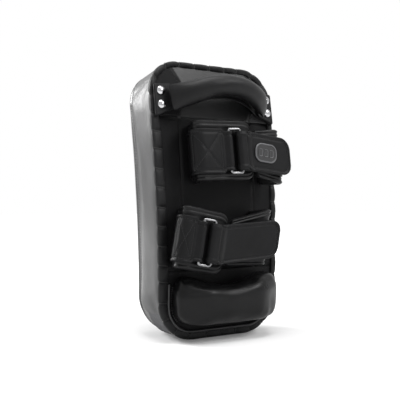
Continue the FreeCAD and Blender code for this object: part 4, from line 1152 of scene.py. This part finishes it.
# ---------------------------------------------------------------------------------- the bumper
def make_bumper():
    """The puffed bolster across the foot of the back, and the piping around it."""
    bumper = settings().bumper
    piece = outer_skin("bumper_padding", "Bumper leather", "bumper_cover")
    remesh(piece, 4 * MM)
    edit(piece, lambda bm: relax(bm, 6))
    inflate(piece, settings().finish.pressure * 1.4, 6 * MM)
    place = on_back(0, bumper.height)
    back = place.inverted()

    def crease(bm):
        """Pleats, slack leather, a crease in from each end, and a crest that sinks to the left."""
        for vert in bm.verts:
            spot = back @ vert.co
            u, d, up = spot.x / MM, -spot.y / MM, spot.z / MM
            lobe = math.exp(-((up - 19 - 0.08 * abs(u)) / 4.5) ** 2) * ramp(abs(u), 40, 62)
            pleat = noise.noise(Vector((u / 5.0, 0.4, up / 45.0))) * ramp(abs(u), 34, 60) * ramp(-up, -12, 14)
            slack = noise.noise(Vector((u / 26.0, d / 22.0, up / 16.0)))
            rise = 1.1 * pleat + 1.1 * slack - (3.2 if u < 0 else 1.6) * lobe
            vert.co += vert.normal * MM * rise * ramp(d, 2, 8)
            vert.co.x += math.copysign(5 * MM, u) * ramp(abs(u), 50, 95) * ramp(d, 6, 30)
            sink = 3.0 * math.exp(-((u + 8) / 40) ** 2) * ramp(up, 2, 28)
            sink += ramp(d, 15, 33) * ramp(up, 2, 40) * 9 * ramp(-u, -10, 75)
            vert.co.z -= sink * MM
    edit(piece, crease, lambda bm: relax(bm, 3))
    ride(subdivide(piece), "pad", "cover_leather", "bumper_cover", "bumper_core", fill=0.9)
    low, high = bumper.piping_foot - bumper.height, bumper.piping_top - bumper.height
    out = bumper.piping_out
    bend = bumper.piping_bend
    run = bent_line([(-out, high), (-out, low, bend), (out, low, bend), (out, high)],
                    5 * MM, 14)
    places, rows = [], bmesh.new()
    for point, heading in run:
        along, inward = Vector((heading.x, 0, heading.y)), Vector((-heading.y, 0, heading.x))
        spot = Matrix.Translation((point.x, -2.3 * MM, point.y))
        places.append(place @ spot @ oriented(inward, OUTWARD, along))
        # lacing between the piping and the roll, down both sides
        if abs(point.x) > 60 * MM and -30 * MM < point.y < 22 * MM:
            for k in (0, 0.5):
                spot = Vector((point.x, -0.9 * MM, point.y)) + along * 5 * MM * k
                line = [(spot + inward * reach * MM, OUTWARD) for reach in (2.6, 10)]
                stitch_row(rows, line, 7 * MM, 1.3 * MM)
    bm = sweep(bmesh.new(), round_section(2 * MM, 12), places)
    crumple(bm, 0.25 * MM, 5 * MM)
    ride(finish_mesh(bm, "piping", "Piping leather"), "pad", "binding_leather", "bumper_piping")
    rows.transform(place)
    sew(rows, "bumper_lacing", "binding_leather")


# ---------------------------------------------------------------------------------- the straps
def levels():
    """Heights of the straps' layers above the back panel, in order outwards."""
    sizes = settings().layers
    base = sizes.arm_room + sizes.cuff_pad + sizes.gap
    top = base + sizes.leather
    free = top + sizes.swing + sizes.wire / 2
    fold = free + sizes.wire / 2 + sizes.swing + sizes.leather
    loop = top + sizes.gap
    hook = loop + sizes.patch + sizes.gap
    return {"base": base, "top": top, "hinge": top + sizes.gap + sizes.wire / 2, "free": free, "fold": fold,
            "loop": loop, "hook": hook, "tail": hook + sizes.patch + sizes.gap}


def side_run(wall, depth, facing):
    """A line that rises from the back panel, leans outwards and turns level, a depth under the outer face."""
    sizes, top, foot_rise = settings().layers, levels()["top"], 5 * MM
    lean = sizes.wall_lean
    foot = facing * (wall - (top - foot_rise) * math.tan(lean) - depth)
    knee = foot_rise + depth * math.tan(lean / 2)
    corner = facing * (wall - depth * math.tan(math.pi / 4 + lean / 2))
    return [(foot, sizes.gap), (foot, knee, 4 * MM + depth), (corner, top - depth, sizes.shoulder - depth)]


def cuff_section(width, thick):
    """A padded cuff seen end on: piped edges, a sewn groove, and a stuffed ridge beside its strap."""
    # distance from the edge in mm, and the upper and lower face as shares of the thickness
    spots = ((0, 0.5, 0.5), (0.6, 0.85, 0.2), (1.7, 1.12, 0.02), (3.2, 1.24, -0.06), (5.0, 1.14, -0.08),
             (6.2, 1.02, -0.09), (7.4, 1.12, -0.1), (8.8, 1.2, -0.1), (10.4, 1.1, -0.06), (12.3, 0.97, 0),
             (17, 0.96, 0), (28, 0.96, 0))
    half = width / MM / 2
    left = [(-0.5 + e / half / 2, high * thick) for e, high, _ in spots] + [(0, 0.97 * thick)]
    right = [(-a, high) for a, high in reversed(left[:-1])]
    under = [(0.5 - e / half / 2, low * thick) for e, _, low in spots[1:]] + [(0, 0.0)]
    back = [(-a, low) for a, low in reversed(under[:-1])]
    return left + right + under + back


def make_cuff(name, side, run, edges, outer=1):
    """A padded cuff along a run, with small folds across it."""
    sizes = settings().layers
    places = places_along(bent_line(run, 4 * MM, 9), edges, outer, sizes.cuff_pad / 2)
    bm = sweep(bmesh.new(), cuff_section(sizes.cuff_width, sizes.cuff_pad), places)
    bm.transform(strap_place(side))
    bmesh.ops.recalc_face_normals(bm, faces=bm.faces)
    crumple(bm, 0.9 * MM, 12 * MM, (1, 1, 0.45))
    piece = finish_mesh(bm, name + "_padding", "Cuff leather")
    ride(subdivide(piece), "pad", "cuff_leather", name, fill=0.8)


def skewed_edges(side, reach, half, spread=0.0, lift=0.0):
    """The two edges of a strap that runs on from the fold at its skew, wider and higher at the far end."""
    strap, hinge = getattr(settings(), side), settings().layers.tail_hinge

    def edges(u):
        part = max(0.0, (u - hinge) / (reach - hinge))
        rise = part * ((reach - hinge) * math.tan(strap.skew) + lift)
        return rise - half - spread * part, rise + half + spread * part
    return edges


def make_anchor(side):
    """The left half: a padded cuff with a tongue, and the strap that holds the ring."""
    strap, sizes, at = getattr(settings(), side), settings().layers, levels()
    buried = sizes.leather + sizes.gap + sizes.cuff_pad / 2
    run = side_run(strap.anchor, buried, -1) + [(sizes.tongue, at["top"] - buried)]
    half = sizes.cuff_width / 2

    def cuff_edges(u):
        draw_in = rounded_end(u, sizes.tongue, 14 * MM)
        return strap.cuff_lift - half + draw_in, strap.cuff_lift + half - draw_in
    make_cuff(f"{side}_anchor_cuff", side, run, cuff_edges)

    middle = sizes.leather / 2
    bend = sizes.wire / 2 + sizes.gap + middle
    top = at["hinge"] + bend
    laid = at["top"] + sizes.gap + middle
    run = side_run(strap.anchor, middle, -1) + [
        (bend, at["top"] - middle, bend - 0.1 * MM), (bend, top, bend - 0.1 * MM),
        (-sizes.wire / 2, top, sizes.wire), (-2 * sizes.wire, laid, sizes.wire)]
    _, knee, shoulder = side_run(strap.anchor, -sizes.gap - middle, -1)
    down = (Vector(knee[:2]) - Vector(shoulder[:2])).normalized()
    tail = Vector(shoulder[:2]) + down * (shoulder[2] * math.tan(math.pi / 4 + sizes.wall_lean / 2) + 2 * MM)
    stations = bent_line(run + [shoulder, tuple(tail)], 1.5 * MM, 14)
    wide, narrow = sizes.anchor_width / 2, sizes.strap_width / 2

    def edges(u):
        half = wide + (narrow - wide) * max(0.0, min(1.0, (u + 3 * sizes.wire) / sizes.wire))
        return -half, half
    places = places_along(stations, edges, 1, middle)
    # sewn down on its cuff: a box crossed from corner to corner, measured along the strap
    along = [0.0]
    for (before, _), (after, _) in zip(stations, stations[1:]):
        along.append(along[-1] + (after - before).length)
    turned = next(i for i, (_, heading) in enumerate(stations) if heading.x < -0.9)
    laid_down = next(i for i, (point, _) in enumerate(stations) if i > turned and point.x < -3.2 * sizes.wire)
    start, end, reach = along[laid_down], along[-1] - 9 * MM, wide - SEAM_INSET
    corners = [Vector((start, -reach)), Vector((end, -reach)), Vector((end, reach)), Vector((start, reach))]
    seams = [(corners[i], corners[k]) for i, k in ((0, 3), (1, 2), (0, 2), (1, 3))]

    def carve(i, vert, near):
        heading = stations[i][1]
        if i < turned or vert.normal.dot(Vector((heading.y, heading.x, 0))) < 0.3:
            return rim_and_groove(near, vert.normal.y < -0.3 and stations[i][0].y < at["base"])
        spot = Vector((along[i], vert.co.z))
        cross = min((spot - closest_on(spot, *seam)).length for seam in seams)
        return rim_and_groove(near, True) - 1.1 * MM * math.exp(-(cross / (1.15 * MM)) ** 2)
    piece = leather_strap("anchor", side, sizes.anchor_width, places, carve, (0.15 * MM, 9 * MM))
    ride(piece, "pad", "strap_leather", f"{side}_anchor_strap")

    def on_strap(spot):
        """The point of the folded-back layer at a length along the strap and a height across it."""
        i = min(range(len(along) - 1), key=lambda k: abs(along[k] - spot.x))
        heading = stations[i][1]
        point, out = stations[i][0] + heading * (spot.x - along[i]), Vector((heading.y, heading.x, 0))
        return Vector((point.x, -point.y, spot.y)) + out * (middle - 0.5 * MM), out
    rows = bmesh.new()
    for first, last in seams + [(corners[0], corners[1]), (corners[3], corners[2])]:
        stitch_row(rows, [on_strap(first.lerp(last, k / 12)) for k in range(13)])
    rows.transform(strap_place(side))
    sew(rows, f"{side}_anchor_stitches", "strap_leather")


def make_return(side):
    """The right half: a padded cuff, and the strap that folds round the ring's free bar."""
    strap, sizes, at = getattr(settings(), side), settings().layers, levels()
    buried = sizes.leather + sizes.gap + sizes.cuff_pad / 2
    run = side_run(strap.far, buried, 1) + [(sizes.return_pad, at["top"] - buried)]
    growth = (sizes.cuff_width - sizes.strap_width) / 2 - sizes.wire / 2
    edges = skewed_edges(side, strap.far, sizes.strap_width / 2 + sizes.wire / 2, growth, strap.return_lift)
    make_cuff(f"{side}_return_cuff", side, run, edges, -1)

    middle, hinge = sizes.leather / 2, sizes.tail_hinge
    fold = sizes.wire / 2 + sizes.swing + middle
    low, high = at["top"] - middle, at["fold"] - middle
    run = side_run(strap.far, middle, 1) + [
        (sizes.ring_reach - fold, low, fold - 0.1 * MM), (sizes.ring_reach - fold, high, fold - 0.1 * MM),
        (hinge - 1.5 * MM, high)]
    stations = bent_line(run, 3 * MM, 9)
    edges = skewed_edges(side, strap.far, sizes.strap_width / 2)
    places = places_along(stations, edges, -1, middle)

    def carve(i, vert, near):
        """The rim is left off where the strap lies inside the ring."""
        point = stations[i][0]
        clear = point.y > at["free"] and point.x > sizes.ring_reach + sizes.wire / 2
        return rim_and_groove(near, clear and vert.normal.y < -0.3)
    piece = leather_strap("return", side, sizes.strap_width, places, carve, (0.12 * MM, 9 * MM))
    ride(piece, "pad", "strap_leather", f"{side}_return_strap")
    rows = edge_stitches(places, lambda wide: 0.5 - SEAM_INSET / wide)
    rows.transform(strap_place(side))
    sew(rows, f"{side}_return_stitches", "strap_leather")


def make_tail(side):
    """The tail that peels off: it bends at the fold, and carries its hook patch on the inner face."""
    strap, sizes, at = getattr(settings(), side), settings().layers, levels()
    middle, hinge = sizes.leather / 2, sizes.tail_hinge
    level, high = at["tail"] + middle, at["fold"] - middle
    run = [(hinge - 1.5 * MM, high), (hinge + 2.5 * MM, high, 7 * MM), (hinge + 8.5 * MM, level, 7 * MM),
           (strap.tail - 0.05 * MM, level)]
    stations = bent_line(run, 1.6 * MM, 8)
    base = skewed_edges(side, strap.tail, sizes.strap_width / 2)
    bend = 16 * MM

    def edges(u):
        (low, top), draw_in = base(u), rounded_end(u, strap.tail, bend)
        return low + draw_in, top - draw_in

    def carve(i, vert, near):
        """The rim and its groove run on round the tail's rounded end."""
        ahead = strap.tail - stations[i][0].x
        low, top = base(stations[i][0].x)
        aside = min(vert.co.z - low, top - vert.co.z)
        if ahead < bend and aside < bend:
            near = max(0.0, bend - math.hypot(bend - ahead, bend - aside))
        else:
            near = min(ahead, aside)
        return rim_and_groove(max(0.0, near), vert.normal.y < -0.3)
    places = places_along(stations, edges, 1, middle)
    piece = leather_strap("tail", side, sizes.strap_width, places, carve, (0.2 * MM, 12 * MM))
    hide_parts(f"{side}_tail")
    # the stitches run out along one edge, round the end and back along the other
    points = [point for point, _ in stations if point.x < strap.tail - bend]
    row = [Vector((point.x, -point.y - middle + 0.5 * MM, base(point.x)[0] + SEAM_INSET)) for point in points]
    far_row = [Vector((spot.x, spot.y, base(spot.x)[1] - SEAM_INSET)) for spot in reversed(row)]
    low, top = base(strap.tail - bend / 2)
    turns, radius = [math.radians(-90 + 12 * k) for k in range(16)], bend - SEAM_INSET
    row += [Vector((strap.tail - bend + radius * math.cos(turn), row[-1].y,
                    (low + bend if turn < 0 else top - bend) + radius * math.sin(turn))) for turn in turns]
    rows = bmesh.new()
    stitch_row(rows, [(spot, OUTWARD) for spot in row + far_row])
    rows.transform(strap_place(side))
    stitches = finish_mesh(rows, f"{side}_tail_stitches", "Bonded thread", merge=0)
    start, end = (tuple(strap_place(side) @ Vector((hinge + past, -high, 0))) for past in (-1 * MM, 9 * MM))
    for soft in (piece, stitches):
        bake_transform(soft)


def make_patches():
    """Hook and loop tape: a fuzzy loop patch on each return strap and a hook patch under each tail."""
    sizes, at, margin = settings().layers, levels(), 4 * MM
    for side in ("upper", "lower"):
        strap = getattr(settings(), side)
        start, hook_end = sizes.return_pad + margin, strap.tail - sizes.strap_width * 0.3
        for kind, level, reach, body in (("loop", at["loop"], strap.far - 2 * sizes.shoulder, "pad"),
                                         ("hook", at["hook"], hook_end, f"{side}_tail")):
            edges = skewed_edges(side, strap.far, sizes.strap_width / 2 - margin)
            places = places_along(bent_line([(start, level), (reach, level)], 3 * MM), edges)
            bm = sweep(bmesh.new(), band_section(46 * MM, sizes.patch), places)
            bm.transform(strap_place(side))
            crumple(bm, 0.2 * MM, 2 * MM)
            piece = finish_mesh(bm, f"{side}_{kind}_tape", "Hook and loop")
            ride(piece, body, "hook_and_loop", f"{side}_{kind}_patch")


def make_badge():
    """A blank moulded badge: a plate with a raised outline and three blank outlined blocks."""
    strap, sizes = settings().upper, settings().layers
    wide, tall, bend, along = 38 * MM, 27 * MM, 11 * MM, 57 * MM
    block_wide, block_tall, block_bend, block_rim = 6.8 * MM, 10.8 * MM, 2.2 * MM, 0.7 * MM
    base = levels()["tail"] + sizes.leather + sizes.gap
    bm = bmesh.new()

    def plate(half_wide, half_tall, bend, low, high, middle=0.0):
        """A plate with rounded corners; gives its outer face."""
        verts = [bm.verts.new((middle + half_wide * u, -low, half_tall * v))
                 for u, v in ((-1, -1), (1, -1), (1, 1), (-1, 1))]
        bm.faces.new(verts)
        made = round_corners(bm, verts, bend, 10)
        sheet = max((face for vert in made for face in vert.link_faces), key=lambda face: len(face.verts))
        body = bmesh.ops.extrude_face_region(bm, geom=[sheet])["geom"]
        lid = [item for item in body if isinstance(item, bmesh.types.BMFace)]
        bmesh.ops.translate(bm, vec=(0, low - high, 0), verts=lid[0].verts[:])
        return lid
    lid = plate(wide / 2, tall / 2, bend, base, base + 1.1 * MM)
    # the outline rises and falls again in narrow bands of the paler rim rubber, partly the rim's own grey and
    # partly a painted highlight on the raised outline; the last band is of the plate's own rubber
    for width, rise, slot in ((0.25, 0.0, 1), (0.35, 0.35, 1), (0.6, 0.25, 1), (0.6, 0.0, 1), (0.35, -0.3, 1),
                              (0.3, -0.4, 0)):
        made = bmesh.ops.inset_region(bm, faces=lid, thickness=width * MM, use_even_offset=True)
        for face in made["faces"]:
            face.material_index = slot
        for vert in lid[0].verts:
            vert.co.y -= rise * MM
    for middle in (-9.5, 0, 9.5):
        for face in plate(block_wide / 2, block_tall / 2, block_bend, base + 0.9 * MM, base + 1.5 * MM,
                          middle * MM):
            # the blocks' outlines take the paler rim rubber too, partly a painted highlight
            made = bmesh.ops.inset_region(bm, faces=[face], thickness=block_rim, use_even_offset=True)
            for band in made["faces"]:
                band.material_index = 1
            for vert in face.verts:
                vert.co.y += 0.3 * MM
    rise = (along - sizes.tail_hinge) * math.tan(strap.skew)
    turn = Matrix.Rotation(-strap.skew, 4, "Y")
    bm.transform(strap_place("upper") @ Matrix.Translation((along, 0, rise)) @ turn)
    piece = finish_mesh(bm, "blank_badge", "Moulded rubber", smooth=False)
    piece.data.materials.append(materials()["Badge rim rubber"])
    ride(piece, "upper_tail", "badge_rubber", "upper_badge")


def dress_cad_parts():
    """Gives the rings, the burrs, the board and the core their finishes."""
    # The rings get the darker ring steel, whose tint is painted shade.
    wanted = {"upper_ring": "Ring steel", "lower_ring": "Ring steel", "rivet_burrs": "Zinc plated steel",
              "backing_board": "Stiff board", "core_foam": "Closed cell foam"}
    for node, title in wanted.items():
        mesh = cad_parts[node].data
        mesh.materials.clear()
        mesh.materials.append(materials()[title])


# ----------------------------------------------------------------------------------- the stage
def plainly_seen(tree):
    """1 for rays that come from the camera or off a glossy or clear surface, 0 for the rest."""
    path = add(tree, "ShaderNodeLightPath").outputs
    return maths(tree, "MAXIMUM", path["Is Camera Ray"],
                 maths(tree, "MAXIMUM", path["Is Glossy Ray"], path["Is Transmission Ray"]))


def make_stage():
    """Camera, floor, softboxes and a white surround."""
    studio, scene = settings().studio, bpy.context.scene
    target = Vector((0, studio.target_depth - BACK, studio.level))
    out = Vector((math.sin(studio.azimuth), -math.cos(studio.azimuth), 0))
    camera = bpy.data.objects.new("camera", bpy.data.cameras.new("camera"))
    camera.data.lens, camera.data.sensor_width = studio.lens, 36
    camera.location = target + out * studio.distance
    camera.rotation_euler = (-out).to_track_quat("-Z", "Y").to_euler()
    scene.collection.objects.link(camera)
    scene.camera = camera

    bm = bmesh.new()
    bmesh.ops.create_grid(bm, x_segments=1, y_segments=1, size=8)
    tree, shader = new_material("Pale floor")
    away = add(tree, "ShaderNodeVectorMath", {"operation": "LENGTH"}, {0: object_spot(tree)}).outputs["Value"]
    glow = add(tree, "ShaderNodeMapRange", {"interpolation_type": "SMOOTHSTEP"},
               {"Value": away, "From Min": 0.15, "From Max": 0.75, "To Min": 0.12, "To Max": 1.0}).outputs[0]
    feed(tree, shader, {"Base Color": (0.82, 0.82, 0.82, 1), "Roughness": 0.9, "Specular IOR Level": 0.0,
                        "Emission Color": (1, 1, 1, 1),
                        "Emission Strength": maths(tree, "MULTIPLY", plainly_seen(tree), glow)})
    finish_mesh(bm, "floor", "Pale floor", smooth=False)

    world = bpy.data.worlds.new("Surround")
    scene.world = world
    world.use_nodes = True
    tree = world.node_tree
    tree.nodes.clear()
    dim, white = (add(tree, "ShaderNodeBackground", None, {"Color": (1, 1, 1, 1), "Strength": power})
                  for power in (0.32, 1.0))
    light = add(tree, "ShaderNodeMixShader", None, {0: plainly_seen(tree), 1: dim.outputs[0],
                                                      2: white.outputs[0]})
    add(tree, "ShaderNodeOutputWorld", None, {0: light.outputs[0]})

    middle = Vector((0, 0, 0.2))
    for name, where, size, power in (("top softbox", (-0.1, -0.25, 1.5), 0.8, 15),
                                     ("front softbox", (0.8, -1.15, 1.4), 0.7, 16),
                                     ("left softbox", (-0.95, 1.4, 1.0), 0.8, 40)):
        lamp = bpy.data.objects.new(name, bpy.data.lights.new(name, "AREA"))
        lamp.data.shape, lamp.data.size, lamp.data.energy = "SQUARE", size, power
        lamp.location = where
        lamp.rotation_euler = (middle - lamp.location).to_track_quat("-Z", "Y").to_euler()
        scene.collection.objects.link(lamp)
    scene.view_settings.view_transform = "Standard"


# ----------------------------------------------------------------------------------- operators
def operator(name, label, doc, *steps):
    """An operator class that runs its steps in order."""
    def execute(self, context):
        for step in steps:
            step()
        return {"FINISHED"}
    return type("THAI_PAD_OT_" + name, (bpy.types.Operator,),
                {"bl_idname": "thai_pad." + name, "bl_label": label, "__doc__": doc,
                 "bl_options": {"REGISTER", "UNDO"}, "execute": execute})


OPERATORS = (
    operator("cover", "Cover", "Build the stuffed gusset and strike face", make_cover),
    operator("back_panels", "Back panels", "Build the stitched panels of the back", make_back_panels),
    operator("binding", "Rolled edge", "Build the binding round the back", make_binding),
    operator("handle", "Handle", "Build the handle strap, its tabs and the padded grip", make_handle),
    operator("bumper", "Bumper", "Build the bolster and its piping", make_bumper),
    operator("straps", "Straps", "Build both forearm straps and their cuffs",
             *(lambda side=side, make=make: make(side) for side in ("upper", "lower")
               for make in (make_anchor, make_return, make_tail))),
    operator("patches", "Hook and loop", "Build the hook and loop patches", make_patches),
    operator("badge", "Badge", "Build the blank badge on the upper tail", make_badge),
    operator("cad_parts", "Steel, board and core", "Finish the rings, the burrs, the board and the core",
             dress_cad_parts),
    operator("stage", "Studio", "Build the floor, the lights and the camera", make_stage),
)


class THAI_PAD_PT_build(bpy.types.Panel):
    """Lists the thai pad's pieces and sizes"""
    bl_label = "Thai Pad"
    bl_idname = "THAI_PAD_PT_build"
    bl_space_type = "VIEW_3D"
    bl_region_type = "UI"
    bl_category = "Thai Pad"

    def draw(self, context):
        for made in OPERATORS:
            self.layout.operator(made.bl_idname)
        for title in GROUPS:
            box = self.layout.box()
            box.label(text=title.capitalize())
            group = getattr(context.scene.thai_pad, title)
            for name in group.bl_rna.properties.keys():
                if name not in ("rna_type", "name"):
                    box.prop(group, name)


CLASSES = (*GROUPS.values(), ThaiPad, *OPERATORS, THAI_PAD_PT_build)


def register():
    for item in CLASSES:
        bpy.utils.register_class(item)
    bpy.types.Scene.thai_pad = bpy.props.PointerProperty(type=ThaiPad)


def unregister():
    del bpy.types.Scene.thai_pad
    for item in reversed(CLASSES):
        bpy.utils.unregister_class(item)


def main():
    register()
    for made in OPERATORS:
        group, name = made.bl_idname.split(".")
        getattr(getattr(bpy.ops, group), name)()


if __name__ == "__main__":
    main()
